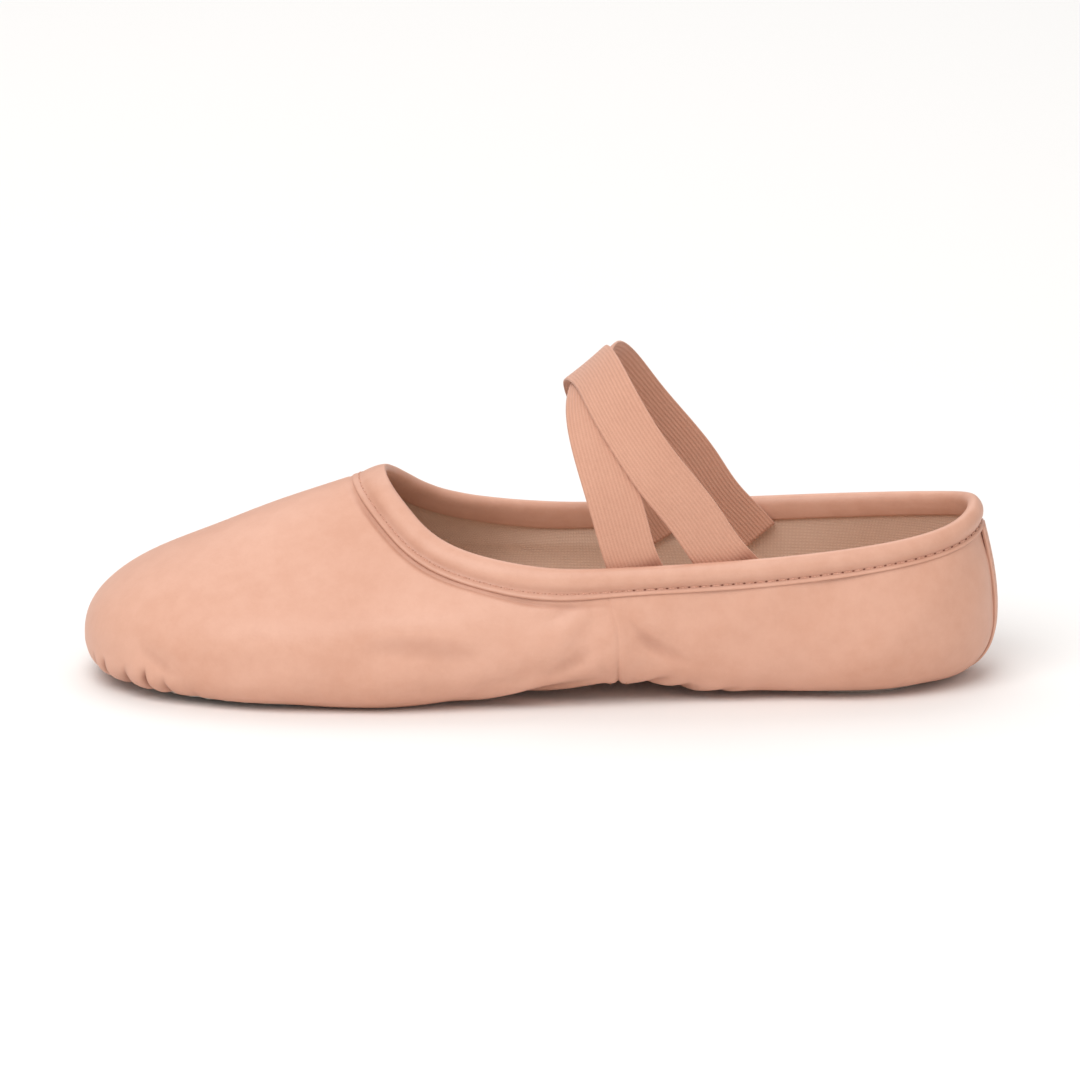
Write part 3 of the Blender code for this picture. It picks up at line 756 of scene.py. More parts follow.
class Skin:
    """Points and faces of one piece, gathered as whole grids in millimetres."""

    def __init__(self) -> None:
        """Start with no points."""
        self.points: list[Array] = []
        self.patterns: list[Array] = []
        self.marks: list[Array] = []
        self.faces: list[list[int]] = []
        self.count = 0

    def add(
        self, points: Array, pattern: Optional[Array] = None, mark: Optional[Array] = None
    ) -> Array:
        """Store a grid of points.

        Args:
            points: Points with x, y and z along the last axis.
            pattern: Two lengths of the pattern map for each point, or None.
            mark: The painted shade of each point, in creases and under edges, or None.

        Returns:
            The points' numbers, in the same layout.
        """
        shape = points.shape[:-1]
        numbers = np.arange(self.count, self.count + int(np.prod(shape))).reshape(shape)
        self.count += numbers.size
        self.points.append(points.reshape(-1, 3))
        flat = np.zeros((*shape, 2)) if pattern is None else pattern
        self.patterns.append(flat.reshape(-1, 2))
        self.marks.append((np.zeros(shape) if mark is None else mark).ravel())
        return numbers

    def lay(self, numbers: Array) -> None:
        """Lay four-cornered faces over grids of point numbers."""
        self.faces += grid_faces(numbers)

    def lay_round(self, numbers: Array) -> None:
        """Lay faces over grids of point numbers whose last column joins the first."""
        self.lay(np.concatenate([numbers, numbers[..., :1]], axis=-1))

    def bridge(self, first: Array, second: Array, keep: Optional[Array] = None) -> None:
        """Join two rows of point numbers with faces, on all gaps between columns or the kept ones."""
        faces = grid_faces(np.stack([first, second]))
        self.faces += faces if keep is None else np.array(faces)[keep].tolist()

    def lay_rows(self, rows: Array) -> None:
        """Lay one many-cornered face over each row of point numbers."""
        self.faces += rows.tolist()

    def lay_tubes(self, numbers: Array) -> None:
        """Lay faces round many small tubes and over their ends.

        Args:
            numbers: Point numbers by tube, ring along it and place round it.
        """
        self.lay_round(numbers)
        self.lay_rows(numbers[:, 0])
        self.lay_rows(numbers[:, -1])

    def make(self, name: str, finish: bpy.types.Material) -> bpy.types.Object:
        """Make the piece over the origin: welded, facing outward, smooth, with its pattern map and
        painted shade mark.

        Args:
            name: The piece's name.
            finish: Its material.

        Returns:
            The new object.
        """
        points = (np.vstack(self.points) - np.array([0.5 * LENGTH, 0.0, 0.0])) * MM
        mesh = bpy.data.meshes.new(name)
        mesh.from_pydata(points.tolist(), [], self.faces)
        corner = np.zeros(len(mesh.loops), np.int32)
        mesh.loops.foreach_get("vertex_index", corner)
        layer = mesh.uv_layers.new(name=PATTERN)
        layer.data.foreach_set("uv", np.vstack(self.patterns)[corner].astype(np.float32).ravel())
        # each point's painted shade, which the materials darken by
        mark = mesh.attributes.new(MARK, "FLOAT", "POINT")
        mark.data.foreach_set("value", np.concatenate(self.marks).astype(np.float32))
        work = bmesh.new()
        work.from_mesh(mesh)
        bmesh.ops.remove_doubles(work, verts=work.verts, dist=WELD * MM)
        bmesh.ops.recalc_face_normals(work, faces=work.faces)
        work.to_mesh(mesh)
        work.free()
        mesh.shade_smooth()
        mesh.materials.append(finish)
        piece = bpy.data.objects.new(name, mesh)
        bpy.context.scene.collection.objects.link(piece)
        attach(piece, BODY)
        LOG.info("%s: %d points, %d faces", name, len(mesh.vertices), len(mesh.polygons))
        return piece


@dataclass
class PatchOutline:
    """The plan of a sole patch, the same on both sides of the middle line."""

    shape: PatchShape
    middle: float
    half_length: float
    half_width: float
    egg: float = 0.15
    line_points: int = 1201

    def half_width_at(self, x: Array, inset: float = 0.0) -> Array:
        """Work out the patch's half width.

        An egg is an ellipse whose width grows evenly towards the toe. A teardrop is an ellipse times
        the root of the way left to its point, scaled back to the full width.

        Args:
            x: Places along the shoe.
            inset: How far the outline is drawn in.

        Returns:
            The half width at each place, 0 outside the patch.
        """
        u = np.clip((x - self.middle) / (self.half_length - inset), -1.0, 1.0)
        round_end = np.sqrt(1.0 - u**2)
        if self.shape is PatchShape.EGG:
            return (self.half_width - inset) * round_end * (1.0 + self.egg * u)
        peak = 4.0 / math.sqrt(27.0)
        return (self.half_width - inset) * round_end * np.sqrt(0.5 * (1.0 - u)) / peak

    def edge(self, turn: Array) -> Array:
        """Return points of the outline in plan, for a turn from 0 at the toe end round to 2 pi."""
        x = self.middle + self.half_length * np.cos(turn)
        return stacked(x, self.half_width_at(x) * np.sign(np.sin(turn)))

    def inset_line(self, inset: float) -> Array:
        """Work out the closed line inside the outline: half of it moved in by its normal, and mirrored.

        Args:
            inset: The distance from the outline.

        Returns:
            Points in plan, the last equal to the first.
        """
        half = self.edge(np.linspace(0.0, math.pi, self.line_points)[1:-1])
        way = unit(np.gradient(half, axis=0))
        moved = half + inset * stacked(-way[:, 1], way[:, 0])
        moved = moved[moved[:, 1] > 0.0]
        loop = np.vstack([moved, moved[::-1] * np.array([1.0, -1.0])])
        return np.vstack([loop, loop[:1]])


@dataclass
class Form:
    """The slipper's smooth form, as a ring of sections round the shoe.

    A place on the upper is a turn and a level. The turn runs from -1 at the toe round one side to 0 at
    the back of the heel and round the other side to 1 at the toe again; its size is the station, the
    share of one side's plan outline run from the heel. Level 0 is the inner edge of the leather
    underneath, 1 the widest line and 2 the collar.
    """

    length: float = LENGTH
    heel_centre: float = 45.0
    heel_half_width: float = 33.5
    heel_roundness: float = 2.2
    waist_x: float = 96.0
    waist_half_width: float = 37.5
    ball_centre: float = 160.0
    ball_half_width: float = 45.5
    toe_roundness: float = 2.35
    clearance: float = 0.3
    sole_thickness: float = 1.2
    wall: float = 1.5
    flat_share: float = 0.66
    curl_roundness: float = 2.5
    arch_lift: float = 3.8
    arch_back: float = 64.0
    arch_top: float = 97.0
    arch_front: float = 146.0
    toe_spring: float = 1.0
    toe_spring_start: float = 205.0
    seam_x: float = 99.5
    lap: float = 8.0
    throat: Span = (0.84, 0.13)
    throat_loss: float = 0.8
    end_points: int = 900
    climb_points: int = 121
    halvings: int = 40
    middle_reach: float = 2e-5
    forefoot: PatchOutline = field(
        default_factory=lambda: PatchOutline(PatchShape.EGG, 187.5, 41.5, 35.5)
    )
    heel: PatchOutline = field(
        default_factory=lambda: PatchOutline(PatchShape.TEARDROP, 48.0, 31.0, 21.5)
    )

    def __post_init__(self) -> None:
        """Work out the curves along the shoe, the plan outline and the openings underneath."""
        stations = table_column(SECTIONS, "station")
        self.curves = {
            column: spline(stations, table_column(SECTIONS, column), column != "collar_y")
            for column in Section._fields[1:]
        }
        self.side_half_width = spline(
            np.array([self.heel_centre, self.waist_x, self.ball_centre]),
            np.array([self.heel_half_width, self.waist_half_width, self.ball_half_width]),
            True,
        )
        heel = self.rounded_end(
            self.heel_centre, -self.heel_centre, self.heel_half_width, self.heel_roundness
        )
        toe = self.rounded_end(
            self.ball_centre, self.length - self.ball_centre, self.ball_half_width, self.toe_roundness
        )
        x = np.linspace(self.heel_centre, self.ball_centre, len(heel))[1:-1]
        self.outline = np.vstack([heel, stacked(x, self.side_half_width(x)), toe[::-1]])
        run = run_along(self.outline)
        self.outline_length = float(run[-1])
        self.outline_share = run / run[-1]
        self.opening = self.opening_shares(self.outline_share)

    def rounded_end(self, centre: float, reach: float, half_width: float, power: float) -> Array:
        """Work out a quarter of a superellipse in plan, from its tip to its full width.

        Args:
            centre: Where the full width is.
            reach: Way from there to the tip, with its sign.
            half_width: The full half width.
            power: Roundness of the superellipse, 2 being an ellipse.

        Returns:
            Points in plan.
        """
        turn = np.linspace(0.0, 0.5 * math.pi, self.end_points)
        along = centre + reach * np.cos(turn) ** (2.0 / power)
        return stacked(along, half_width * np.sin(turn) ** (2.0 / power))

    def station_at(self, x: float) -> float:
        """Return the station at which the widest line passes x."""
        return float(np.interp(x, self.outline[:, 0], self.outline_share))

    def side_x(self, turn: Array) -> Array:
        """Return x of the widest line at each turn."""
        return np.interp(np.abs(turn), self.outline_share, self.outline[:, 0])

    def opening_at(self, turn: Array) -> Array:
        """Return the share of the way out at which the leather starts at each turn."""
        return np.interp(np.abs(turn), self.outline_share, self.opening)

    def even_turns(self, step: float) -> Array:
        """Return turns all round the shoe, about a step apart, with one at the back of the heel."""
        half = int(2.0 * self.outline_length / step) // 2
        return np.linspace(-1.0, 1.0, 2 * half + 1)

    def on_middle(self, turn: Array) -> Array:
        """Return which turns are on the shoe's middle line, at the heel or the toe."""
        return np.minimum(np.abs(turn), 1.0 - np.abs(turn)) < self.middle_reach

    def throat_fade(self, turn: Array) -> Array:
        """Return 1 along the collar, less a loss that grows towards the throat."""
        return 1.0 - self.throat_loss * rise(np.abs(turn), *self.throat)

    def widest_line(self, station: Array) -> Array:
        """Return points of the widest line on the side of positive y."""
        plan = [np.interp(station, self.outline_share, self.outline[:, axis]) for axis in (0, 1)]
        return stacked(*plan, self.curves["widest_z"](station))

    def spine(self, widest: Array) -> Array:
        """Return the point on the sole's middle line that each widest point looks back to."""
        x = np.clip(widest[..., 0], self.heel_centre, self.ball_centre)
        return stacked(x, 0.0 * x, 0.0 * x)

    def sole_line(self, x: Array) -> Array:
        """Work out the middle's height: flat, an arch that is a sine squared, and a toe spring squared.

        Args:
            x: Places along the shoe.

        Returns:
            The heights.
        """
        back = rise(x, self.arch_back, self.arch_top - self.arch_back)
        front = fall(x, self.arch_front, self.arch_front - self.arch_top)
        arch = np.sin(0.5 * math.pi * np.minimum(back, front)) ** 2
        spring = rise(x, self.toe_spring_start, self.length - self.toe_spring_start) ** 2
        return self.sole_thickness + self.clearance + self.arch_lift * arch + self.toe_spring * spring

    def curled(self, x: Array, share: Array, widest_z: Array) -> Array:
        """Work out the underside's height, flat in the middle and curling up as a superellipse.

        Args:
            x: Places along the shoe.
            share: Share of the way out to the widest line.
            widest_z: Height of the widest line there.

        Returns:
            The heights.
        """
        outer = rise(share, self.flat_share, 1.0 - self.flat_share)
        curl = 1.0 - (1.0 - outer**self.curl_roundness) ** (1.0 / self.curl_roundness)
        base = self.sole_line(x)
        return base + (widest_z - base) * curl

    def underside(self, x: Array, y: Array) -> Array:
        """Work out the underside's height, which curls with the share of the way out.

        That share is a superellipse's at both ends and a ratio of widths between.

        Args:
            x: Places along the shoe.
            y: Places across it.

        Returns:
            The heights.
        """

        def end_share(reach: float, half_width: float, power: float) -> Array:
            """Return the share of the way out to the outline of a rounded end."""
            along = (np.abs(x - middle) / reach) ** power
            return (along + (np.abs(y) / half_width) ** power) ** (1.0 / power)

        middle = np.clip(x, self.heel_centre, self.ball_centre)
        toe = end_share(self.length - self.ball_centre, self.ball_half_width, self.toe_roundness)
        heel = end_share(self.heel_centre, self.heel_half_width, self.heel_roundness)
        side = np.abs(y) / self.side_half_width(middle)
        share = np.where(x > self.ball_centre, toe, np.where(x < self.heel_centre, heel, side))
        rim_x = middle + (x - middle) / np.maximum(share, 1e-6)
        station = np.interp(rim_x, self.outline[:, 0], self.outline_share)
        return self.curled(x, share, self.curves["widest_z"](station))

    def opening_shares(self, station: Array) -> Array:
        """Work out where the leather starts: halving steps close in on the patch outline less the lap.

        Args:
            station: Stations along one side.

        Returns:
            The share of the way out, 0 where the leather meets in the middle.
        """
        widest = self.widest_line(station)
        middle = self.spine(widest)
        near = np.zeros(station.shape)
        far = np.ones_like(near)
        for _ in range(self.halvings):
            share = 0.5 * (near + far)
            x = middle[..., 0] + share * (widest[..., 0] - middle[..., 0])
            open_to = np.maximum(
                self.forefoot.half_width_at(x, self.lap), self.heel.half_width_at(x, self.lap)
            )
            inside = share * widest[..., 1] < open_to
            near, far = np.where(inside, share, near), np.where(inside, far, share)
        along = np.zeros(station.shape, bool)
        for patch in (self.forefoot, self.heel):
            along |= np.abs(middle[..., 0] - patch.middle) < patch.half_length - self.lap - 1e-6
        return np.where(along, near, 0.0)

    def wall_curve(self, station: Array, climb: Array) -> Array:
        """Work out points of the wall: cubic Bezier curves, upright below and at their own pitch above.

        Args:
            station: Stations along one side.
            climb: 0 on the widest line to 1 at the collar.

        Returns:
            The points.
        """
        foot = self.widest_line(station)
        top = np.stack([self.curves[f"collar_{axis}"](station) for axis in "xyz"], axis=-1)
        inward = unit((top - foot)[..., :2])
        pitch = np.radians(self.curves["pitch_deg"](station))[..., None]
        lean = np.concatenate([np.cos(pitch) * inward, np.sin(pitch)], axis=-1)
        upright = np.array([0.0, 0.0, 1.0]) * self.curves["rise"](station)[..., None]
        t = climb[..., None]
        points = (1.0 - t) ** 3 * foot + 3.0 * t * (1.0 - t) ** 2 * (foot + upright)
        handle = top - self.curves["run"](station)[..., None] * lean
        return points + 3.0 * t**2 * (1.0 - t) * handle + t**3 * top

    def climb_below(self, station: Array, below: Places) -> Array:
        """Work out the climb at which the wall is a given way below the collar, along the leather.

        Args:
            station: Stations along one side, one for each column.
            below: The way below the collar, for each column or for all.

        Returns:
            The climb for each column.
        """
        t = np.linspace(1.0, 0.0, self.climb_points)
        line = self.wall_curve(station[:, None] + 0.0 * t, t + 0.0 * station[:, None])
        run = np.linalg.norm(np.diff(line, axis=1), axis=-1).cumsum(axis=1)
        run = np.concatenate([np.zeros((len(station), 1)), run], axis=1)
        below = np.broadcast_to(below, station.shape)
        k = np.clip((run < below[:, None]).sum(axis=1) - 1, 0, len(t) - 2)
        row = np.arange(len(station))
        share = (below - run[row, k]) / (run[row, k + 1] - run[row, k])
        return t[k] + np.clip(share, 0.0, 1.0) * (t[k + 1] - t[k])

    def half_point(self, station: Array, level: Array) -> Array:
        """Work out points at positive y: out the underside as a parabola, then up the wall's curve.

        Args:
            station: Stations along the side.
            level: Levels up the leather.

        Returns:
            The points.
        """
        foot = self.widest_line(station)
        start = self.opening_at(station)
        way = np.clip(level, 0.0, 1.0)
        share = start + (1.0 - start) * (1.0 - (1.0 - way) ** 2)
        middle = self.spine(foot)
        under = middle + share[..., None] * (foot - middle)
        under[..., 2] = self.curled(under[..., 0], share, foot[..., 2])
        wall = self.wall_curve(station, np.clip(level - 1.0, 0.0, 1.0))
        return np.where((level <= 1.0)[..., None], under, wall)

    def half_normal(self, station: Array, level: Array) -> Array:
        """Work out the outward direction on the side of positive y: up the leather crossed with along it.

        Args:
            station: Stations along the side.
            level: Levels up the leather.

        Returns:
            The directions, of length one.
        """
        climb = 0.004
        step = 0.002
        start = np.minimum(level, np.where(level > 1.0, 2.0, 1.0) - climb)
        here = self.half_point(station, start)
        up = self.half_point(station, start + climb) - here
        way = np.where(station > 0.5, -1.0, 1.0)
        along = way[..., None] * (self.half_point(station + way * step, start) - here)
        across = way[..., None] * np.array([0.0, 1.0, 0.0])
        return unit(np.cross(up, np.where(self.on_middle(station)[..., None], across, along)))

    def mirrored(self, turn: Array, values: Array) -> Array:
        """Return points or directions of one side carried to the side of each turn."""
        one = np.ones_like(turn)
        return values * stacked(one, np.where(turn < 0.0, -one, one), one)

    def point(self, turn: Array, level: Array) -> Array:
        """Return points of the smooth outside all round the shoe."""
        return self.mirrored(turn, self.half_point(np.abs(turn), level))

    def normal(self, turn: Array, level: Array) -> Array:
        """Return the outward directions of the smooth outside all round the shoe."""
        return self.mirrored(turn, self.half_normal(np.abs(turn), level))

    def under_normal(self, x: Array, y: Array) -> Array:
        """Work out the downward direction of the underside, from its slopes along and across.

        Args:
            x: Places along the shoe.
            y: Places across it.

        Returns:
            The directions, of length one.
        """
        step = 0.4
        slope_x = (self.underside(x + step, y) - self.underside(x - step, y)) / (2.0 * step)
        slope_y = (self.underside(x, y + step) - self.underside(x, y - step)) / (2.0 * step)
        return unit(stacked(slope_x, slope_y, -np.ones_like(slope_x)))


class StitchRow(NamedTuple):
    """A line on the shoe to sew along, with the outward direction at each of its points."""

    line: Array
    facing: Array


class LeatherSheet(NamedTuple):
    """Places on the outside of the leather, with their directions, painted shade marks and way up the
    leather.
    """

    points: Array
    facing: Array
    mark: Array
    up: Array


@dataclass
class Stitching:
    """All stitches of one thread, as one joined mesh, and dark plugs of painted shade for the needle
    holes between them as another.
    """

    name: str
    thread: Thread
    # painted shade colour of the needle holes
    hole: Thread
    pitch: float
    stitch_length: float
    stitch_width: float
    arch: float
    hole_radius: float
    hole_lift: float = 0.06
    hole_depth: float = 0.3
    hole_stretch: float = 1.25
    hole_taper: float = 0.6
    hole_points: int = 8
    ring_ways: tuple[float, ...] = (-1.0, -0.72, 0.0, 0.72, 1.0)
    ring_points: int = 6
    bluntness: float = 1.04
    dive: float = 1.9
    flatness: float = 0.8
    slope_reach: float = 0.4
    rows: list[StitchRow] = field(default_factory=list)

    def places(self, row: StitchRow, offset: float) -> tuple[Array, Array]:
        """Work out evenly spaced places along a row, each with its own axes.

        Args:
            row: The line to sew along.
            offset: The place's share of the way along each stitch, from 0 to 1.

        Returns:
            The places, and for each the directions along, across and out from the surface.
        """
        run = run_along(row.line)
        count = max(int(round(run[-1] / self.pitch)), 1)
        at = (np.arange(count) + offset) * run[-1] / count

        def read(values: Array, way: Array) -> Array:
            """Return three columns of values read off along the line."""
            return np.stack([np.interp(way, run, values[:, k]) for k in range(3)], axis=-1)

        along = unit(read(row.line, at + self.slope_reach) - read(row.line, at - self.slope_reach))
        facing = read(row.facing, at)
        facing = unit(facing - (facing * along).sum(axis=-1, keepdims=True) * along)
        return read(row.line, at), np.stack([along, np.cross(facing, along), facing], axis=-2)

    def stitch(self) -> Array:
        """Work out one stitch as rings along an arch, thinner by the root of bluntness less way squared.

        Returns:
            Points with the ring first and the place round it second.
        """
        way = np.array(self.ring_ways)[:, None]
        turn = ring_turns(self.ring_points)
        thick = 0.5 * self.stitch_width * np.sqrt(self.bluntness - way**2)
        along = 0.5 * self.stitch_length * way + 0.0 * turn
        out = self.arch * (1.0 - self.dive * way**2) + self.flatness * thick * np.sin(turn)
        return stacked(along, thick * np.cos(turn), out)

    def needle_hole(self) -> Array:
        """Work out one needle hole as a dark plug of painted shade, from an oval rim down to a smaller
        one.

        Returns:
            Points with the ring first and the place round it second.
        """
        turn = ring_turns(self.hole_points)
        oval = stacked(self.hole_stretch * np.cos(turn), np.sin(turn), 0.0 * turn)
        rim = self.hole_radius * oval
        out = np.array([0.0, 0.0, 1.0])
        return np.stack([rim + self.hole_lift * out, self.hole_taper * rim - self.hole_depth * out])

    def stamp(self, name: str, finish: Thread, template: Array, offset: float) -> None:
        """Make one piece of copies of a small closed tube, one at every place along the rows.

        Args:
            name: The piece's name.
            finish: Its thread.
            template: The tube's rings of points, in ways along, across and out.
            offset: The copy's share of the way along each stitch, from 0 to 1.
        """
        middles, axes = zip(*(self.places(row, offset) for row in self.rows))
        turned = np.einsum("rtk,nkc->nrtc", template, np.concatenate(axes))
        skin = Skin()
        skin.lay_tubes(skin.add(np.concatenate(middles)[:, None, None] + turned))
        skin.make(name, finish.material())

    def build(self) -> None:
        """Make the joined stitches and the joined dark plugs of painted shade in the needle holes."""
        self.stamp(self.name, self.thread, self.stitch(), 0.5)
        # the holes are dark plugs of painted shade
        self.stamp(f"{self.name}_holes", self.hole, self.needle_hole(), 0.0)


@dataclass
class Upper:
    """The leather upper with its toe pleats, seams and creases, and the cotton lining inside it."""

    form: Form
    plain_step: float = 1.7
    waist_step: float = 0.85
    waist_start: float = 62.0
    waist_end: float = 128.0
    seam_step: float = 0.34
    seam_reach: float = 4.0
    pleat_step: float = 0.36
    pleat_margin: float = 0.9
    column_samples: int = 6001
    middle_levels: tuple[float, ...] = (0.0, 0.005, 0.01, 0.016, 0.023, 0.031, 0.04, 0.05, 0.062, 0.076)
    under_start: float = 0.092
    under_rows: int = 52
    wall_rows: int = 38
    collar_rows: int = 26
    collar_reach: float = 11.0
    hidden_rows: int = 20
    way_points: int = 10
    leather: float = 0.9
    floor_gap: float = 0.3
    pleats_a_side: float = 6.5
    pleat_width: float = 7.2
    pleat_depth: float = 1.3
    pleat_swell: float = 0.6
    pleat_start: float = 0.24
    pleat_rise: float = 0.14
    pleat_top: float = 0.88
    pleat_fade: float = 0.36
    pleat_shade: float = 1.45
    near_fan: float = 1.0
    far_fan: float = 0.6
    pleat_shift: Wave = Wave(0.15, 2.3, 0.6)
    pleat_lean: Wave = Wave(0.25, 3.1, 1.9)
    pleat_reach: Wave = Wave(0.08, 2.9, 0.4)
    lean_level: float = 0.7
    steep_side: float = 12.0
    slow_side: float = 5.6
    puff: float = 1.7
    puff_ahead: Span = (138.0, 26.0)
    puff_up: Span = (0.25, 0.16)
    puff_fall: float = 0.5
    seam_depth: float = 0.6
    seam_width: float = 0.5
    seam_shoulder: float = 0.26
    shoulder_way: float = 2.0
    shoulder_width: float = 1.4
    side_loss: float = 0.74
    side_fade: Span = (0.55, 0.4)
    middle_back: float = 74.0
    middle_front: float = 150.0
    middle_fade: float = 3.0
    middle_rise: float = 0.4
    crease_points: int = 26
    crease_reach: float = 4.0
    crease_tip: float = 0.04
    crease_ease: float = 0.8
    ridge_share: float = 0.42
    ridge_way: float = 1.9
    ridge_width: float = 1.1
    undulation: float = 0.16
    fold_fade: float = 0.12
    swell_fade: float = 0.3
    patch_fade: float = 0.2
    # painted shade in seam and fold hollows
    seam_shade: Shade = Shade(1.3, 0.15, 0.6)
    fold_shade: Shade = Shade(0.6, 0.14, 0.5)
    groove_below: float = 8.7
    groove_depth: float = 0.6
    groove_width: float = 0.7
    groove_ahead: Span = (0.41, 0.07)
    # painted shade along the welt groove
    groove_shade: float = 0.32
    pleat_recess: float = 0.9
    crease_recess: float = 1.3
    recess_back: float = 62.0
    recess_front: float = 180.0
    recess_fade: float = 8.0
    recess_end: Span = (1.7, 0.25)
    lining_step: float = 3.0
    lining_rows: int = 46
    lining_share: float = 0.66
    lining_below: float = 1.2
    lining_gap: float = 0.05
    sewn_levels: tuple[float, float] = (0.05, 0.62)
    sewn_back: float = 82.0
    sewn_front: float = 146.0
    sewn_gap: float = 3.0
    waist_row_points: int = 90
    middle_row_points: int = 120

    def columns(self) -> Array:
        """Work out the columns' turns, set where a sum over the wanted spacing passes whole numbers.

        Returns:
            Turns from -1 to 1.
        """
        station = np.linspace(0.0, 1.0, self.column_samples)
        x = self.form.side_x(station)
        run = station * self.form.outline_length
        step = np.where((x > self.waist_start) & (x < self.waist_end), self.waist_step, self.plain_step)
        seam_run = self.form.station_at(self.form.seam_x) * self.form.outline_length
        step = np.where(np.abs(run - seam_run) < self.seam_reach, self.seam_step, step)
        pleated = (self.pleats_a_side + self.pleat_margin) * self.pleat_width
        step = np.where(run > run[-1] - pleated, self.pleat_step, step)
        count = np.concatenate([[0.0], np.cumsum(np.diff(run) / (0.5 * (step[:-1] + step[1:])))])
        half = np.interp(np.linspace(0.0, count[-1], int(count[-1]) + 1), count, station)
        return np.concatenate([-half[:0:-1], half])

    def levels(self, turn: Array) -> Array:
        """Work out the rows' levels, close together by the middle seam and in a band below the collar.

        Args:
            turn: Turns of the columns.

        Returns:
            Levels with rows first and columns second.
        """
        under = np.linspace(self.under_start, 1.0, self.under_rows)
        under = np.concatenate([self.middle_levels, under])[:, None]
        band = 1.0 + self.form.climb_below(np.abs(turn), self.collar_reach)
        wall = 1.0 + np.linspace(0.0, 1.0, self.wall_rows)[1:, None] * (band - 1.0)
        top = band + np.linspace(0.0, 1.0, self.collar_rows)[1:, None] * (2.0 - band)
        return np.vstack([under + 0.0 * turn, wall, top])

    def pleat_count(self, turn: Array) -> Array:
        """Return how many pleat widths each turn is from the toe tip."""
        return (1.0 - np.abs(turn)) * self.form.outline_length / self.pleat_width

    def pleats(self, turn: Array, level: Array) -> tuple[Array, Array]:
        """Work out how far the toe pleats stand out and how deep in a crease each place is.

        Counting pleat widths from the toe tip, each lobe rises steeply from one crease and falls slowly
        into the next. The creases fan out, and slow waves of the count shift, lean and shorten them.

        Args:
            turn: Turns of the grid.
            level: Levels of the grid.

        Returns:
            The relief in millimetres, and the mark of painted shade, strong in the creases and 0 on the
            lobes.
        """
        count = self.pleat_count(turn)
        signed = np.where(turn < 0.0, -count, count)
        drift = self.pleat_shift.at(signed) + (level - self.lean_level) * self.pleat_lean.at(signed)
        fan = np.where(turn < 0.0, self.far_fan, self.near_fan)
        drift = drift - fan * (level - self.pleat_start)
        way = (count + drift * np.clip(count, 0.0, 1.0) + 0.5) % 1.0
        crease = np.maximum((1.0 - way) ** self.steep_side, way**self.slow_side)
        top = self.pleat_top + self.pleat_reach.at(signed)
        fade = eased(fall(level, top, self.pleat_fade)) * fall(count, self.pleats_a_side + 0.5, 2.0)
        lift = self.pleat_swell * rise(level, self.pleat_start, self.pleat_rise)
        # the second value is painted shade in the pleat creases
        return fade * (lift - (self.pleat_depth + lift) * crease), self.pleat_shade * fade * crease

    def puffed(self, turn: Array, level: Array) -> Array:
        """Work out the swell round the forefoot patch: soft steps forward, up from it and down again.

        Args:
            turn: Turns of the grid.
            level: Levels of the grid.

        Returns:
            The relief in millimetres.
        """
        ahead = eased(rise(self.form.side_x(turn), *self.puff_ahead))
        from_patch = eased(rise(level, *self.puff_up))
        return self.puff * ahead * from_patch * eased(fall(level, 1.0, self.puff_fall))

    def seam(self, distance: Array) -> Array:
        """Return a sewn seam's relief: a narrow valley between two soft shoulders."""
        shoulders = bump_hill(np.abs(distance) - self.shoulder_way, self.shoulder_width)
        return shoulders * self.seam_shoulder - bump_hill(distance, self.seam_width) * self.seam_depth

    def seams(self, turn: Array, level: Array, smooth: Array) -> Array:
        """Work out the relief of the waist seam, faint up the side, and of the middle seam underneath.

        Args:
            turn: Turns of the grid.
            level: Levels of the grid.
            smooth: Points of the smooth form.

        Returns:
            The relief in millimetres.
        """
        x, y = smooth[..., 0], smooth[..., 1]
        from_waist = (np.abs(turn) - self.form.station_at(self.form.seam_x)) * self.form.outline_length
        faint = 1.0 - self.side_loss * rise(level, *self.side_fade)
        ends = rise(x, self.middle_back, self.middle_fade) * fall(x, self.middle_front, self.middle_fade)
        return self.seam(from_waist) * faint + self.seam(y) * ends * fall(level, 1.0, self.middle_rise)

    def creases(self, turn: Array, up: Array) -> Array:
        """Work out the relief of the listed creases.

        Each crease is a parabola between its two places. Across it the leather dips as a smooth hill
        turned over, with a lower ridge on both sides, and along it the depth is a half sine.

        Args:
            turn: Turns of the grid.
            up: The way up the leather from the widest line.

        Returns:
            The relief in millimetres.
        """
        x = self.form.side_x(turn)
        way = np.linspace(0.0, 1.0, self.crease_points)
        relief = np.zeros_like(up)
        for side, crease in ((side, crease) for side in CREASES for crease in CREASES[side]):
            start = np.array([crease.start_x, crease.start_up])
            run = np.array([crease.end_x, crease.end_up]) - start
            sideways = np.array([-run[1], run[0]]) / np.linalg.norm(run)
            bow = 4.0 * crease.bow * way * (1.0 - way)
            line = start + way[:, None] * run + bow[:, None] * sideways
            low = line.min(axis=0) - self.crease_reach * crease.width
            high = line.max(axis=0) + self.crease_reach * crease.width
            near = (x > low[0]) & (x < high[0]) & (up > low[1]) & (up < high[1])
            near &= (turn < 0.0) == (side is Side.FAR)
            gaps = np.hypot(x[near][:, None] - line[:, 0], up[near][:, None] - line[:, 1])
            gap = gaps.min(axis=1)
            along = np.clip(way[gaps.argmin(axis=1)], self.crease_tip, 1.0 - self.crease_tip)
            along = np.sin(math.pi * along) ** self.crease_ease
            ridge = bump_hill(gap - self.ridge_way * crease.width, self.ridge_width * crease.width)
            trough = bump_hill(gap, crease.width)
            relief[near] += crease.depth * along * (self.ridge_share * ridge - trough)
        return relief

    def softness(self, smooth: Array) -> Array:
        """Work out slow swells of the leather: a sum of waves that cross the shoe at a slant.

        Args:
            smooth: Points of the smooth form.

        Returns:
            The relief in millimetres.
        """
        x, y, z = np.moveaxis(smooth, -1, 0)
        relief = np.zeros_like(x)
        for height, along, across, up, phase in SWELLS:
            relief += height * np.sin(along * x + across * y + up * z + phase)
        return self.undulation * relief

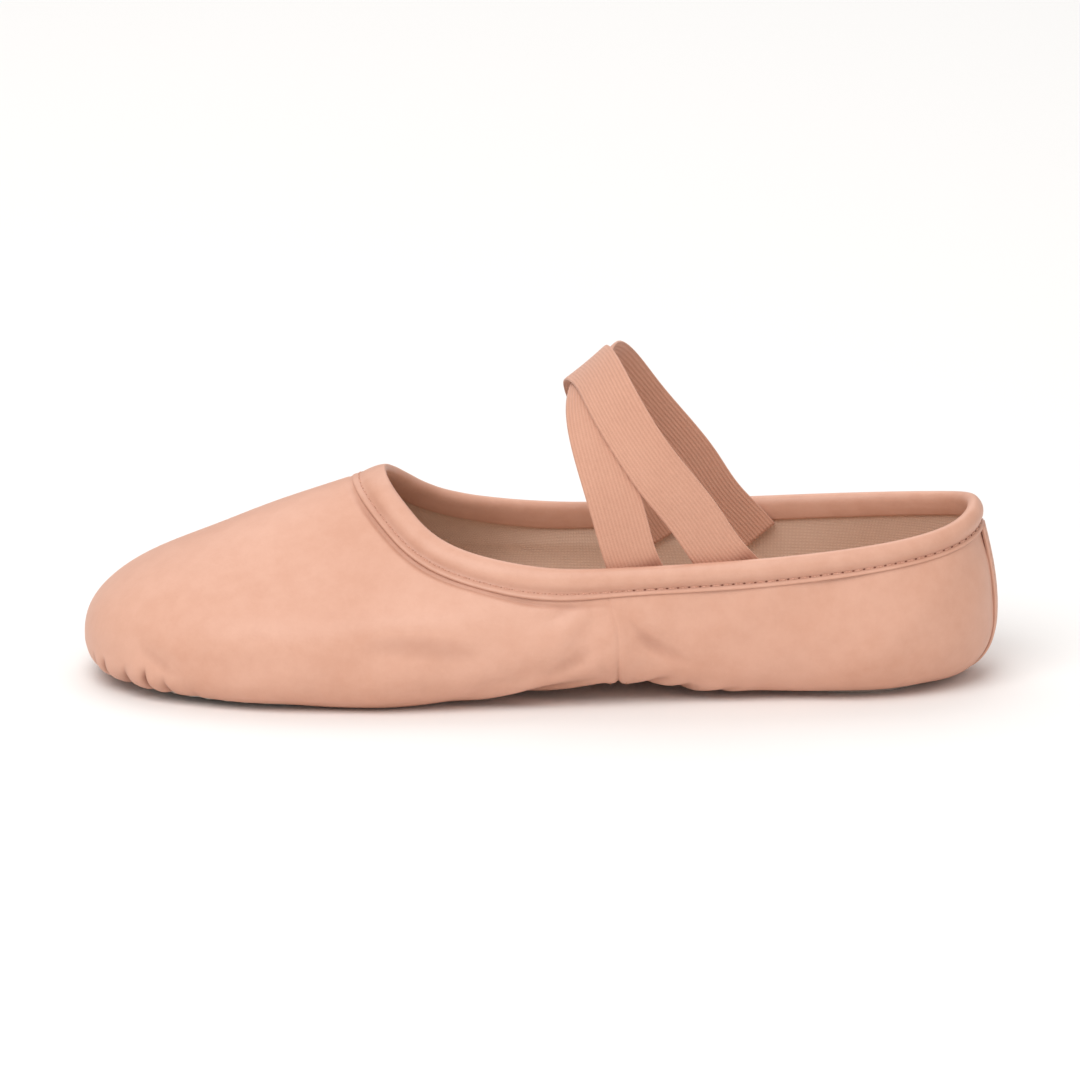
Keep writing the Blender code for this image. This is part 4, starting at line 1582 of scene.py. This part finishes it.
    def way_up(self, turn: Array, level: Array) -> Array:
        """Work out the way up the leather from the widest line, as a sum of short straight steps.

        Args:
            turn: Turns of the places.
            level: Levels of the places.

        Returns:
            The way to each place in millimetres, down being negative.
        """
        steps = 1.0 + (level - 1.0)[..., None] * np.linspace(0.0, 1.0, self.way_points)
        points = self.form.point(np.broadcast_to(turn[..., None], steps.shape), steps)
        run = np.linalg.norm(np.diff(points, axis=-2), axis=-1).sum(axis=-1)
        return np.where(level < 1.0, -run, run)

    def leather_at(self, turn: Array, level: Array) -> LeatherSheet:
        """Work out the outside of the leather with all its relief, flat where it lies under a patch.

        Args:
            turn: Turns of the places.
            level: Levels of the places.

        Returns:
            The places with their directions, painted shade marks and way up the leather.
        """
        smooth = self.form.point(turn, level)
        facing = self.form.normal(turn, level)
        up = self.way_up(turn, level)
        pleats, creased = self.pleats(turn, level)
        folds = self.creases(turn, up) * fall(level, 2.0, self.fold_fade)
        seams = self.seams(turn, level, smooth)
        swell = self.softness(smooth) * fall(level, 2.0, self.swell_fade)
        relief = pleats + folds + seams + swell + self.puffed(turn, level)
        over_patch = self.form.opening_at(turn) > 0.0
        relief = relief * np.where(over_patch, rise(level, 0.0, self.patch_fade), 1.0)
        # painted shade in the pleat creases, along the seams and in the folds
        mark = creased + self.seam_shade.of(seams) + self.fold_shade.of(folds)
        outside = smooth + relief[..., None] * facing
        outside[..., 2] = np.maximum(outside[..., 2], self.floor_gap)
        return LeatherSheet(outside, facing, mark, up)

    def welt_groove(self, turn: Array, up: Array) -> Array:
        """Work out the groove along the binding's edge: a hill across, from the waist seam to the throat.

        Args:
            turn: Turns of the grid.
            up: The way up the leather, whose last row is the collar.

        Returns:
            1 at the groove's bottom to 0 beside it.
        """
        ahead = rise(np.abs(turn), *self.groove_ahead)
        across = bump_hill(up[-1] - up - self.groove_below, self.groove_width)
        return across * ahead * self.form.throat_fade(turn)

    def recess(self, turn: Array, level: Array) -> Array:
        """Work out how far the hidden inside is drawn in behind the pleats and the waist's creases.

        Args:
            turn: Turns of the grid.
            level: Levels of the grid.

        Returns:
            The way in, in millimetres, 0 by the collar.
        """
        x = self.form.side_x(turn)
        from_ends = np.minimum(x - self.recess_back, self.recess_front - x)
        creased = self.crease_recess * rise(from_ends, 0.0, self.recess_fade)
        pleated = self.pleat_recess * fall(self.pleat_count(turn), self.pleats_a_side + 1.0, 1.0)
        return np.maximum(pleated, creased) * fall(level, *self.recess_end)

    def build_leather(self) -> None:
        """Make the leather: a relief over the form outside, a plain offset inside, closed at its rims."""
        turn = self.columns()
        level = self.levels(turn)
        joined = self.form.opening_at(turn) == 0.0
        on_middle = self.form.on_middle(turn)
        turn = np.broadcast_to(turn, level.shape)
        sheet = self.leather_at(turn, level)
        groove = self.welt_groove(turn, sheet.up)
        outside = sheet.points - (self.groove_depth * groove)[..., None] * sheet.facing
        drawn_in = (self.leather + self.recess(turn, level))[..., None]
        inner_rows = np.linspace(0, len(level) - 1, self.hidden_rows).round().astype(int)
        inside = (self.form.point(turn, level) - drawn_in * sheet.facing)[inner_rows]
        for face in (outside, inside):
            edge = face[0]
            edge[joined] = 0.5 * (edge + edge[::-1])[joined]
            edge[joined, 1] = 0.0
            face[:, on_middle, 1] = 0.0
        pattern = stacked(turn * self.form.outline_length, sheet.up)
        skin = Skin()
        # the mark adds painted shade along the groove by the binding's edge
        outer = skin.add(outside, pattern, sheet.mark + self.groove_shade * groove)
        inner = skin.add(inside)
        skin.lay(outer)
        skin.lay(inner)
        skin.bridge(outer[-1], inner[-1])
        skin.bridge(outer[0], inner[0], ~(joined[:-1] & joined[1:]))
        piece = skin.make("upper_leather", UPPER_LEATHER.material())
        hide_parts("upper")

    def build_lining(self) -> None:
        """Make the lining: a thin sheet inside the leather, from under the binding to the insole."""
        turn = self.form.even_turns(self.lining_step)
        share = np.linspace(0.0, 1.0, self.lining_rows)[:, None]
        top = 1.0 + self.form.climb_below(np.abs(turn), self.lining_below)
        left = (1.0 - self.lining_share) / (1.0 - self.form.opening_at(turn))
        low = 1.0 - np.sqrt(np.clip(left, 0.0, 1.0))
        level = low + share * (top - low)
        turn = np.broadcast_to(turn, level.shape)
        smooth = self.form.point(turn, level)
        normal = self.form.normal(turn, level)
        pattern = stacked(turn * self.form.outline_length, self.way_up(turn, level))
        drawn_in = self.recess(turn, level)[..., None]
        skin = Skin()
        hidden = skin.add(smooth - (self.leather + self.lining_gap + drawn_in) * normal)
        shown = skin.add(smooth - (self.form.wall + drawn_in) * normal, pattern)
        skin.lay(hidden)
        skin.lay(shown)
        skin.bridge(hidden[0], shown[0])
        skin.bridge(hidden[-1], shown[-1])
        skin.make("lining", LINING_COTTON.material())

    def seam_rows(self, apart: float) -> list[StitchRow]:
        """Work out the lines to sew along both sides of the waist seam and of the middle seam.

        Args:
            apart: Way from the seam to each row.

        Returns:
            One row for each side of each stretch of seam.
        """
        form = self.form
        waist = form.station_at(form.seam_x)
        behind = self.sewn_back, form.seam_x - self.sewn_gap
        ahead = form.seam_x + self.sewn_gap, self.sewn_front
        sheets = []
        for side in Side:
            for offset in (-apart, apart):
                level = np.linspace(*self.sewn_levels, self.waist_row_points)
                turn = np.full(level.shape, side.value * (waist + offset / form.outline_length))
                sheets.append(self.leather_at(turn, level))
            for start, end in (behind, ahead):
                x = np.linspace(start, end, self.middle_row_points)
                out = apart / form.side_half_width(x)
                turn = side.value * np.interp(x, form.outline[:, 0], form.outline_share)
                sheets.append(self.leather_at(turn, 1.0 - np.sqrt(1.0 - out)))
        return [StitchRow(sheet.points, sheet.facing) for sheet in sheets]


@dataclass
class CollarBinding:
    """The leather casing rolled over the collar edge, with its stitched groove."""

    form: Form
    step: float = 1.3
    profile_points: int = 60
    table_points_smoothed: int = 18
    edge_reach: float = 0.9
    back_growth: float = 0.86
    front_growth: float = 1.08
    growth_ahead: Span = (0.36, 0.2)
    throat_flatness: float = 0.78
    throat: Span = (0.84, 0.14)
    unevenness: float = 0.06
    long_waves: float = 9.0
    short_waves: float = 21.0
    wave_phase: float = 0.7
    groove: float = 5.6
    groove_lift: float = 0.24
    front_start: float = 0.4
    front_run: float = 0.05
    crisp_shade: float = 0.62
    crisp_width: float = 0.6
    soft_shade: float = 0.3
    soft_width: float = 1.4
    soft_shift: float = 0.3
    edge_shade: float = 0.5
    edge_width: float = 0.3

    def band(self, turn: Array, below: Array, outside: Array) -> Array:
        """Work out points by the collar edge: on the leather or straight on above it, then moved out.

        Args:
            turn: Turn of each column.
            below: Way below the collar edge for each column.
            outside: Way out from the leather for each column.

        Returns:
            One point for each column.
        """
        station = np.abs(turn)
        level = 1.0 + self.form.climb_below(station, np.maximum(below, 0.0))
        lower = self.form.point(turn, 1.0 + self.form.climb_below(station, self.edge_reach))
        edge = self.form.point(turn, np.full(station.shape, 2.0))
        points = self.form.point(turn, level) + np.maximum(-below, 0.0)[:, None] * unit(edge - lower)
        points = points + outside[:, None] * self.form.normal(turn, level)
        points[self.form.on_middle(turn), 1] = 0.0
        return points

    def growth(self, turn: Array) -> Array:
        """Return the binding's height as a share of its profile's: lower behind the waist."""
        way = eased(rise(np.abs(turn), *self.growth_ahead))
        return self.back_growth + (self.front_growth - self.back_growth) * way

    def fullness(self, turn: Array) -> Array:
        """Work out how far the binding stands out: uneven by two waves, and flatter at the throat.

        Args:
            turn: Turn of each column.

        Returns:
            Shares of the profile's own way out.
        """
        flat = self.throat_flatness * eased(rise(np.abs(turn), *self.throat))
        short = np.sin(self.short_waves * math.pi * turn)
        long = np.sin(self.long_waves * math.pi * turn + self.wave_phase)
        return (1.0 + self.unevenness * short * long) * (1.0 - flat)

    def build(self) -> None:
        """Make the binding: its closed profile, smoothed through the table's points, carried round."""
        turn = self.form.even_turns(self.step)
        loop = np.array(BINDING_PROFILE)
        smoothed = loop[: self.table_points_smoothed]
        knots = run_along(smoothed)
        shown = spline(knots, smoothed)(np.linspace(0.0, knots[-1], self.profile_points))
        profile = np.vstack([shown, loop[self.table_points_smoothed :]])
        grown = self.growth(turn)
        full = self.fullness(turn)
        plain = np.ones_like(turn)
        rings = []
        for below, outside in profile:
            height = below * (grown if below > 0.0 else plain)
            rings.append(self.band(turn, height, outside * (full if outside > 0.0 else plain)))
        points = np.array(rings)
        along = np.broadcast_to(run_along(points[0]), points.shape[:-1])
        pattern = stacked(along, np.broadcast_to(profile[:, :1], along.shape))
        skin = Skin()
        numbers = skin.add(points, pattern, self.shading(turn, profile))
        skin.lay(np.vstack([numbers, numbers[:1]]))
        piece = skin.make("collar_binding_rolled", BINDING_LEATHER.material())
        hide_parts("collar_binding")

    def shading(self, turn: Array, profile: Array) -> Array:
        """Work out the binding's mark of painted shade: in a groove, crisp behind the waist and soft in
        front, and at the edge.

        Args:
            turn: Turn of each column.
            profile: Way below the collar edge and outside the leather of each row.

        Returns:
            The painted shade mark, with rows first.
        """
        below = profile[:, :1]
        front = rise(np.abs(turn), self.front_start, self.front_run)
        # painted shade in the stitched groove and under the binding's edge
        crisp = self.crisp_shade * bump_hill(below - self.groove, self.crisp_width) * (1.0 - front)
        soft = bump_hill(below - self.groove + self.soft_shift, self.soft_width)
        edge = self.edge_shade * bump_hill(below - profile[0, 0], self.edge_width)
        shown = self.form.throat_fade(turn) * (profile[:, 1:] > 0.0)
        return (crisp + self.soft_shade * soft * front + edge) * shown

    def stitch_row(self, start: float, end: float) -> StitchRow:
        """Work out the line to sew along the binding's groove.

        Args:
            start: Turn where it starts.
            end: Turn where it ends.

        Returns:
            The row.
        """
        turn = np.linspace(start, end, int((end - start) * self.form.outline_length / self.step))
        below = self.groove * self.growth(turn)
        level = 1.0 + self.form.climb_below(np.abs(turn), below)
        line = self.band(turn, below, self.groove_lift * self.fullness(turn))
        return StitchRow(line, self.form.normal(turn, level))


@dataclass
class HeelStrip:
    """The narrow leather strip sewn over the back seam, from the binding down to the heel patch."""

    form: Form
    width: float = 12.5
    thickness: float = 0.9
    edge_power: float = 14.0
    top_below: float = 6.0
    back_gap: float = 0.02
    raised: float = 0.05
    rows: int = 70
    columns: int = 40
    sewn_inset: float = 2.4
    furrow: float = 0.28
    furrow_width: float = 0.75
    furrow_shade: float = 0.3
    shade_width: float = 0.6
    edge_shade: float = 0.55
    edge_start: float = 0.985

    def levels(self, turn: Array) -> Array:
        """Work out the levels of the strip's rows for every column, from the heel patch up.

        Args:
            turn: Turns of the columns.

        Returns:
            Levels with rows first and columns second.
        """
        form = self.form
        patch_back = form.heel.middle - form.heel.half_length - form.clearance
        patch_share = (form.heel_centre - patch_back) / form.heel_centre
        lowest = 1.0 - math.sqrt((1.0 - patch_share) / (1.0 - float(form.opening[0])))
        top = 1.0 + form.climb_below(np.abs(turn), self.top_below)
        share = np.linspace(0.0, 1.0, self.rows)[:, None]
        return lowest + share * (top - lowest)

    def sewn_across(self) -> float:
        """Return where the stitches run, as a share of the way from the strip's middle to its edge."""
        return 1.0 - 2.0 * self.sewn_inset / self.width

    def from_stitches(self, across: Array) -> Array:
        """Return the way across the strip from its nearest row of stitches."""
        return (np.abs(across) - self.sewn_across()) * 0.5 * self.width

    def lift(self, across: Array) -> Array:
        """Return the strip's height across it: flat, with round edges and pulled down at its stitches."""
        flat = self.thickness * (1.0 - np.abs(across) ** self.edge_power) ** 0.5
        return flat + self.raised - self.furrow * bump_hill(self.from_stitches(across), self.furrow_width)

    def build(self) -> None:
        """Make the strip: a rounded band lifted off the back of the upper."""
        across = np.sin(np.linspace(-0.5 * math.pi, 0.5 * math.pi, self.columns))
        turn = across * 0.5 * self.width / self.form.outline_length
        level = self.levels(turn)
        turns = np.broadcast_to(turn, level.shape)
        smooth = self.form.point(turns, level)
        normal = self.form.normal(turns, level)
        # mark: painted shade in the stitch furrows and along the strip's edges
        mark = self.furrow_shade * bump_hill(self.from_stitches(across), self.shade_width)
        mark = mark + self.edge_shade * (np.abs(across) > self.edge_start)
        skin = Skin()
        lifted = smooth + self.lift(across)[:, None] * normal
        outer = skin.add(lifted, mark=np.broadcast_to(mark, level.shape))
        inner = skin.add(smooth + self.back_gap * normal)
        skin.lay(outer)
        skin.lay(inner)
        for end in (0, -1):
            skin.bridge(outer[end], inner[end])
        for end in (0, -1):
            skin.bridge(outer[:, end], inner[:, end])
        piece = skin.make("heel_strip_leather", UPPER_LEATHER.material())
        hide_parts("heel_strip")

    def stitch_rows(self) -> list[StitchRow]:
        """Work out the lines to sew along both edges of the strip.

        Returns:
            One row for each edge.
        """
        rows = []
        for across in (-self.sewn_across(), self.sewn_across()):
            turn = np.array([across * 0.5 * self.width / self.form.outline_length])
            level = self.levels(turn)[2:-1, 0]
            turns = np.full(level.shape, turn[0])
            facing = self.form.normal(turns, level)
            height = float(self.lift(np.array([across]))[0])
            rows.append(StitchRow(self.form.point(turns, level) + height * facing, facing))
        return rows


@dataclass
class SolePatch:
    """One suede sole patch, rounded at its edge and pulled down along its stitches."""

    form: Form
    outline: PatchOutline
    node: str
    sewn_insets: tuple[float, ...]
    spokes: int = 260
    inner_rings: int = 15
    inner_start: float = 0.03
    edge_band: float = 1.0
    edge_step: float = 0.14
    sewn_band: float = 8.0
    sewn_step: float = 0.4
    top_every: int = 4
    top_gap: float = 0.06
    furrow: float = 0.3
    furrow_width: float = 0.85
    furrow_shade: float = 0.75
    edge_round: float = 0.55
    edge_shade: float = 0.5
    edge_width: float = 0.5
    stitch_sink: float = 0.72

    def rings(self) -> Array:
        """Set out the patch's rings, closer together towards its edge.

        Returns:
            Each ring's share of the way out.
        """
        edge = np.arange(0.0, self.edge_band, self.edge_step)
        sewn = np.arange(self.edge_band, self.sewn_band, self.sewn_step)
        band = 1.0 - np.concatenate([edge, sewn])[::-1] / self.outline.half_width
        return np.concatenate([np.linspace(self.inner_start, band[0], self.inner_rings + 1)[:-1], band])

    def build(self) -> None:
        """Make the patch: rings of its outline under the shoe, over its rounded edge and across its top.

        The low side lies a thickness under the upper, less a furrow along each row of stitches and a
        rounding that grows as a quarter circle towards the edge.
        """
        edge = self.outline.edge(ring_turns(self.spokes))
        middle = np.array([self.outline.middle, 0.0])
        rings = self.rings()
        plan = middle + rings[:, None, None] * (edge - middle)
        x, y = plan[..., 0], plan[..., 1]
        way = unit(np.roll(edge, -1, axis=0) - np.roll(edge, 1, axis=0))
        depth = (edge - middle)[:, 0] * way[:, 1] - (edge - middle)[:, 1] * way[:, 0]
        gap = (1.0 - rings)[:, None] * depth
        sewn = sum(bump_hill(gap - inset, self.furrow_width) for inset in self.sewn_insets)
        near_edge = fall(gap, self.edge_round, self.edge_round)
        rounding = self.edge_round * (1.0 - np.sqrt(np.clip(1.0 - near_edge**2, 0.0, 1.0)))
        under = self.form.underside(x, y)
        low = under - self.form.clearance - self.form.sole_thickness + self.furrow * sewn + rounding
        # mark: painted shade in the stitch furrows and round the patch's edge
        mark = np.clip(self.furrow_shade * sewn, 0.0, 1.0)
        mark = mark + self.edge_shade * bump_hill(gap, self.edge_width)
        skin = Skin()
        lower = skin.add(stacked(x, y, low), plan, mark)
        top = stacked(x, y, under - self.top_gap)
        rim = mark * (rings == rings[-1])[:, None]
        upper = skin.add(*(grid[:: self.top_every] for grid in (top, plan, rim)))
        for grid in (lower, upper):
            skin.lay_round(grid)
            skin.lay_rows(grid[:1])
        skin.lay_round(np.stack([lower[-1], upper[-1]]))
        piece = skin.make(f"{self.node}_suede", SOLE_SUEDE.material())
        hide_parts(self.node)

    def stitch_rows(self) -> list[StitchRow]:
        """Work out the closed lines to sew along, inside the patch's edge.

        Returns:
            One row for each inset.
        """
        rows = []
        drop = self.form.clearance + self.form.sole_thickness - self.stitch_sink * self.furrow
        for inset in self.sewn_insets:
            x, y = self.outline.inset_line(inset).T
            line = stacked(x, y, self.form.underside(x, y) - drop)
            rows.append(StitchRow(line, self.form.under_normal(x, y)))
        return rows


@dataclass
class Insole:
    """The thin cotton insole inside."""

    form: Form
    share: float = 0.73
    thickness: float = 1.5
    edge_thickness: float = 0.6
    edge_start: float = 0.985
    columns: int = 220
    rows: int = 26

    def build(self) -> None:
        """Make the insole: the underside's own form lifted over the leather, with a rounded edge."""
        turn = np.linspace(-1.0, 1.0, self.columns + 1)
        widest = self.form.mirrored(turn, self.form.widest_line(np.abs(turn)))
        middle = self.form.spine(widest)
        out = np.sin(np.linspace(0.0, 0.5 * math.pi, self.rows))[:, None]
        plan = middle + self.share * out[..., None] * (widest - middle)
        x, y = plan[..., 0], plan[..., 1]
        steepness = -1.0 / self.form.under_normal(x, y)[..., 2]
        low = self.form.underside(x, y) + (self.form.wall + self.form.clearance) * steepness
        rounded = np.sqrt(1.0 - rise(out, self.edge_start, 1.0 - self.edge_start) ** 2)
        high = low + self.edge_thickness + (self.thickness - self.edge_thickness) * rounded
        pattern = stacked(x, y)
        skin = Skin()
        lower, upper = (skin.add(stacked(x, y, z), pattern) for z in (low, high))
        skin.lay(lower)
        skin.lay(upper)
        skin.bridge(lower[-1], upper[-1])
        piece = skin.make("insole_sock", INSOLE_COTTON.material())
        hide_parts("insole")


@dataclass
class ElasticStrap:
    """One elastic strap, sewn inside the collar at the front on one side and behind on the other."""

    form: Form
    node: str
    front_side: Side
    raised: float
    width: float = 14.0
    thickness: float = 1.0
    front_x: float = 95.0
    front_lean: float = 0.33
    rear_x: float = 71.0
    rear_lean: float = 0.8
    tuck: float = 10.0
    lift_fall: Span = (84.0, 14.0)
    binding_leg: float = 0.9
    instep_foot_z: float = 32.0
    slope_x: float = 0.05
    slope_angle: float = 0.001
    stations: int = 190
    profile_points: int = 36
    profile_power: float = 0.45
    shade_reach: float = 2.4

    def __post_init__(self) -> None:
        """Work out the instep's ridge and width along the shoe, and the strap's own points."""
        x, ridge_z, half_width = np.array(INSTEP).T
        self.ridge = spline(x, ridge_z)
        self.instep_half_width = spline(x, half_width)
        angle_deg, self.x = np.array(STRAP_RUN).T
        self.angle = np.radians(angle_deg)

    def instep_point(self, x: Array, angle: Array) -> Array:
        """Work out points of the instep: half ellipses that stand across the shoe.

        Args:
            x: Places along the shoe.
            angle: Turns round the instep, 0 on its ridge.

        Returns:
            The points.
        """
        height = self.ridge(x) - self.instep_foot_z
        y = self.instep_half_width(x) * np.sin(angle)
        return stacked(x, y, self.instep_foot_z + height * np.cos(angle))

    def instep_slopes(self, x: Array, angle: Array) -> tuple[Array, Array]:
        """Work out how the instep runs at each point, from the points just before and after it.

        Args:
            x: Places along the shoe.
            angle: Turns round the instep, 0 on its ridge.

        Returns:
            The run along the shoe for each millimetre, and round the instep for each radian.
        """
        ahead, behind = (self.instep_point(x + dx, angle) for dx in (self.slope_x, -self.slope_x))
        after, before = (self.instep_point(x, angle + da) for da in (self.slope_angle, -self.slope_angle))
        return (ahead - behind) / (2.0 * self.slope_x), (after - before) / (2.0 * self.slope_angle)

    def tucked_end(self, x: float, lean: float) -> tuple[Array, Array]:
        """Work out the middle line of a tucked end, on the near side.

        Args:
            x: Where it leaves the collar.
            lean: How far it leans back for each millimetre down.

        Returns:
            Its points, from its tip up, and its facings.
        """
        inside = -self.form.wall - 2.0 * self.form.clearance - self.binding_leg - 0.5 * self.thickness
        below = np.array([self.tuck, 0.5 * self.tuck, 0.0])
        collar_x = self.form.curves["collar_x"](self.form.outline_share)
        station = np.interp(x - lean * below, collar_x, self.form.outline_share)
        level = 1.0 + self.form.climb_below(station, below)
        facing = self.form.half_normal(station, level)
        return self.form.half_point(station, level) + inside * facing, facing

    def rails(self, across: Array, layer: Array) -> Array:
        """Work out the strap's long lines, one for each point of its profile.

        A line is the middle line moved sideways on the instep and out, and goes on inside the collar.

        Args:
            across: Place across the strap, -1 to 1, of each profile point.
            layer: Place through its thickness, -1 to 1, of each profile point.

        Returns:
            Points with the way along the strap first and the profile second.
        """
        along, around = self.instep_slopes(self.x, self.angle)
        forward = -along * np.gradient(self.x, self.angle)[:, None] - around
        sideways = 0.5 * self.width * unit(np.cross(forward, np.cross(along, around)))
        slopes = stacked(along, around)
        step = np.einsum("nkc,nc->nk", np.linalg.pinv(slopes), sideways)
        x = self.x[:, None] + step[:, :1] * across
        angle = self.angle[:, None] + step[:, 1:] * across
        fade = fall(np.abs(np.degrees(self.angle)), *self.lift_fall)
        height = self.raised * fade[:, None] + 0.5 * self.thickness * layer
        over = self.instep_point(x, angle)
        over = over + height[..., None] * unit(np.cross(*self.instep_slopes(x, angle)))
        front, front_facing = self.tucked_end(self.front_x, self.front_lean)
        rear, rear_facing = self.tucked_end(self.rear_x, self.rear_lean)
        flip = np.array([1.0, -1.0, 1.0])
        ends = []
        for points, facing in ((front, front_facing), (rear[::-1] * flip, rear_facing[::-1] * flip)):
            side = unit(np.cross(np.gradient(points, axis=0), facing))
            edge = points[:, None] + 0.5 * self.width * across[:, None] * side[:, None]
            ends.append(edge + 0.5 * self.thickness * layer[:, None] * facing[:, None])
        return np.concatenate([ends[0], over, ends[1]])

    def build(self) -> None:
        """Make the strap: a flat profile with round edges carried along smooth lines.

        The profile is a superellipse, and its mark lays painted shade on the outer face where it meets
        the collar.
        """
        turn = ring_turns(self.profile_points)
        across, layer = (
            np.sign(wave) * np.abs(wave) ** self.profile_power for wave in (np.cos(turn), np.sin(turn))
        )
        run = run_along(self.rails(np.zeros(1), np.zeros(1))[:, 0])
        at = np.linspace(0.0, run[-1], self.stations)
        points = spline(run, self.rails(across, layer))(at)
        points = points * np.array([1.0, self.front_side.value, 1.0])
        pattern = np.broadcast_arrays(0.5 * self.width * across[None, :], at[:, None])
        # mark: painted shade on the outer face, strongest at the collar edge
        above = (np.minimum(at, run[-1] - at) - self.tuck)[:, None]
        mark = bump_hill(above, self.shade_reach) * np.clip(layer, 0.0, 1.0)
        skin = Skin()
        numbers = skin.add(points, stacked(*pattern), mark)
        skin.lay_round(numbers)
        skin.lay_rows(numbers[[0, -1]])
        piece = skin.make(f"{self.node}_ribbed", STRAP_ELASTIC.material())
        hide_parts(self.node)


@dataclass
class Studio:
    """The pale floor, the soft lights and the camera at the photograph's angle."""

    azimuth_deg: float = 180.0
    elevation_deg: float = 15.0
    distance: float = 3.0
    view_width: float = 0.285
    aim: tuple[float, float, float] = (0.0, 0.0, 0.036)
    floor_half: float = 6.0
    floor_rows: int = 25
    paper: PaperFloor = PaperFloor("studio_paper", srgb(243, 241, 239))
    surround: Colour = (1.0, 1.0, 1.0)
    surround_strength: float = 0.55

    def build_floor(self) -> None:
        """Make the floor: a level square of paper at height 0."""
        run = np.linspace(-self.floor_half, self.floor_half, self.floor_rows)
        x, y = np.meshgrid(run, run)
        points = stacked(x, y, np.zeros_like(x)).reshape(-1, 3)
        mesh = bpy.data.meshes.new("floor")
        mesh.from_pydata(points.tolist(), [], grid_faces(np.arange(len(points)).reshape(x.shape)))
        mesh.materials.append(self.paper.material())
        floor = bpy.data.objects.new("floor", mesh)
        bpy.context.scene.collection.objects.link(floor)

    def add_softbox(self, softbox: Softbox) -> None:
        """Hang a softbox so that it faces the shoe.

        Args:
            softbox: Its name, place, side and power.
        """
        lamp = bpy.data.lights.new(softbox.name, "AREA")
        lamp.size = softbox.size
        lamp.energy = softbox.watts
        light = bpy.data.objects.new(softbox.name, lamp)
        light.location = softbox.place
        toward = Vector(self.aim) - Vector(softbox.place)
        light.rotation_euler = toward.to_track_quat("-Z", "Y").to_euler()
        bpy.context.scene.collection.objects.link(light)

    def build_lights(self) -> None:
        """Hang the softboxes and set an even pale surround and true colours."""
        for softbox in SOFTBOXES:
            self.add_softbox(softbox)
        scene = bpy.context.scene
        world = scene.world or bpy.data.worlds.new("surround")
        scene.world = world
        world.use_nodes = True
        sky = world.node_tree.nodes["Background"]
        sky.inputs["Color"].default_value = (*self.surround, 1.0)
        sky.inputs["Strength"].default_value = self.surround_strength
        scene.view_settings.view_transform = "Standard"

    def build_camera(self) -> None:
        """Place the camera on the photograph's line of sight, with a long lens that frames the shoe."""
        turn = math.radians(self.azimuth_deg)
        rise_angle = math.radians(self.elevation_deg)
        level = math.cos(rise_angle)
        back = Vector((math.sin(turn) * level, -math.cos(turn) * level, math.sin(rise_angle)))
        data = bpy.data.cameras.new("camera")
        data.lens = data.sensor_width * self.distance / self.view_width
        camera = bpy.data.objects.new("camera", data)
        camera.location = Vector(self.aim) + self.distance * back
        camera.rotation_euler = (-back).to_track_quat("-Z", "Y").to_euler()
        bpy.context.scene.collection.objects.link(camera)
        bpy.context.scene.camera = camera

    def build(self) -> None:
        """Set up the floor, the lights and the camera."""
        self.build_floor()
        self.build_lights()
        self.build_camera()


@dataclass
class Slipper:
    """The whole slipper: its form, the pieces laid on it and the threads that sew them."""

    form: Form = field(default_factory=Form)

    def __post_init__(self) -> None:
        """Set out the sub-assemblies on the form."""
        self.upper = Upper(self.form)
        self.binding = CollarBinding(self.form)
        self.strip = HeelStrip(self.form)
        self.forefoot = SolePatch(self.form, self.form.forefoot, "forefoot_sole", (2.6, 5.2))
        self.heel = SolePatch(self.form, self.form.heel, "heel_sole", (2.7,))
        self.insole = Insole(self.form)
        self.straps = [
            ElasticStrap(self.form, "elastic_strap_under", Side.NEAR, 0.0),
            ElasticStrap(self.form, "elastic_strap_over", Side.FAR, 1.3),
        ]

    def sewing(self) -> list[Stitching]:
        """Set out the threads with all their rows.

        Returns:
            The threads, in the order that they are sewn.
        """
        sole = Stitching("sole_stitches", SOLE_THREAD, NEEDLE_HOLE_SHADE, 5.1, 4.1, 0.85, 0.16, 0.36)
        sole.rows += self.forefoot.stitch_rows() + self.heel.stitch_rows()
        seams = Stitching("seam_stitches", UPPER_THREAD, SEAM_HOLE_SHADE, 2.9, 1.9, 0.5, 0.08, 0.34)
        seams.rows += self.upper.seam_rows(2.1) + self.strip.stitch_rows()
        front = self.binding.front_start
        quarter = Stitching("collar_stitches", UPPER_THREAD, SEAM_HOLE_SHADE, 2.9, 2.0, 0.5, 0.04, 0.26)
        quarter.rows.append(self.binding.stitch_row(-front, front))
        vamp = Stitching("throat_stitches", UPPER_THREAD, SOFT_HOLE_SHADE, 2.9, 2.2, 0.45, 0.04, 0.18)
        vamp.rows += [self.binding.stitch_row(-1.0, -front), self.binding.stitch_row(front, 1.0)]
        return [sole, seams, quarter, vamp]

    def build(self) -> None:
        """Build and dress every piece in order."""
        self.upper.build_leather()
        self.upper.build_lining()
        self.forefoot.build()
        self.heel.build()
        self.insole.build()
        self.binding.build()
        self.strip.build()
        for strap in self.straps:
            strap.build()
        for thread in self.sewing():
            thread.build()


def main() -> None:
    """Load the frame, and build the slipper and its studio."""
    logging.basicConfig(level=logging.INFO, format="%(name)s %(message)s")
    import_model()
    Slipper().build()
    Studio().build()
    bpy.context.view_layer.update()


if __name__ == "__main__":
    main()
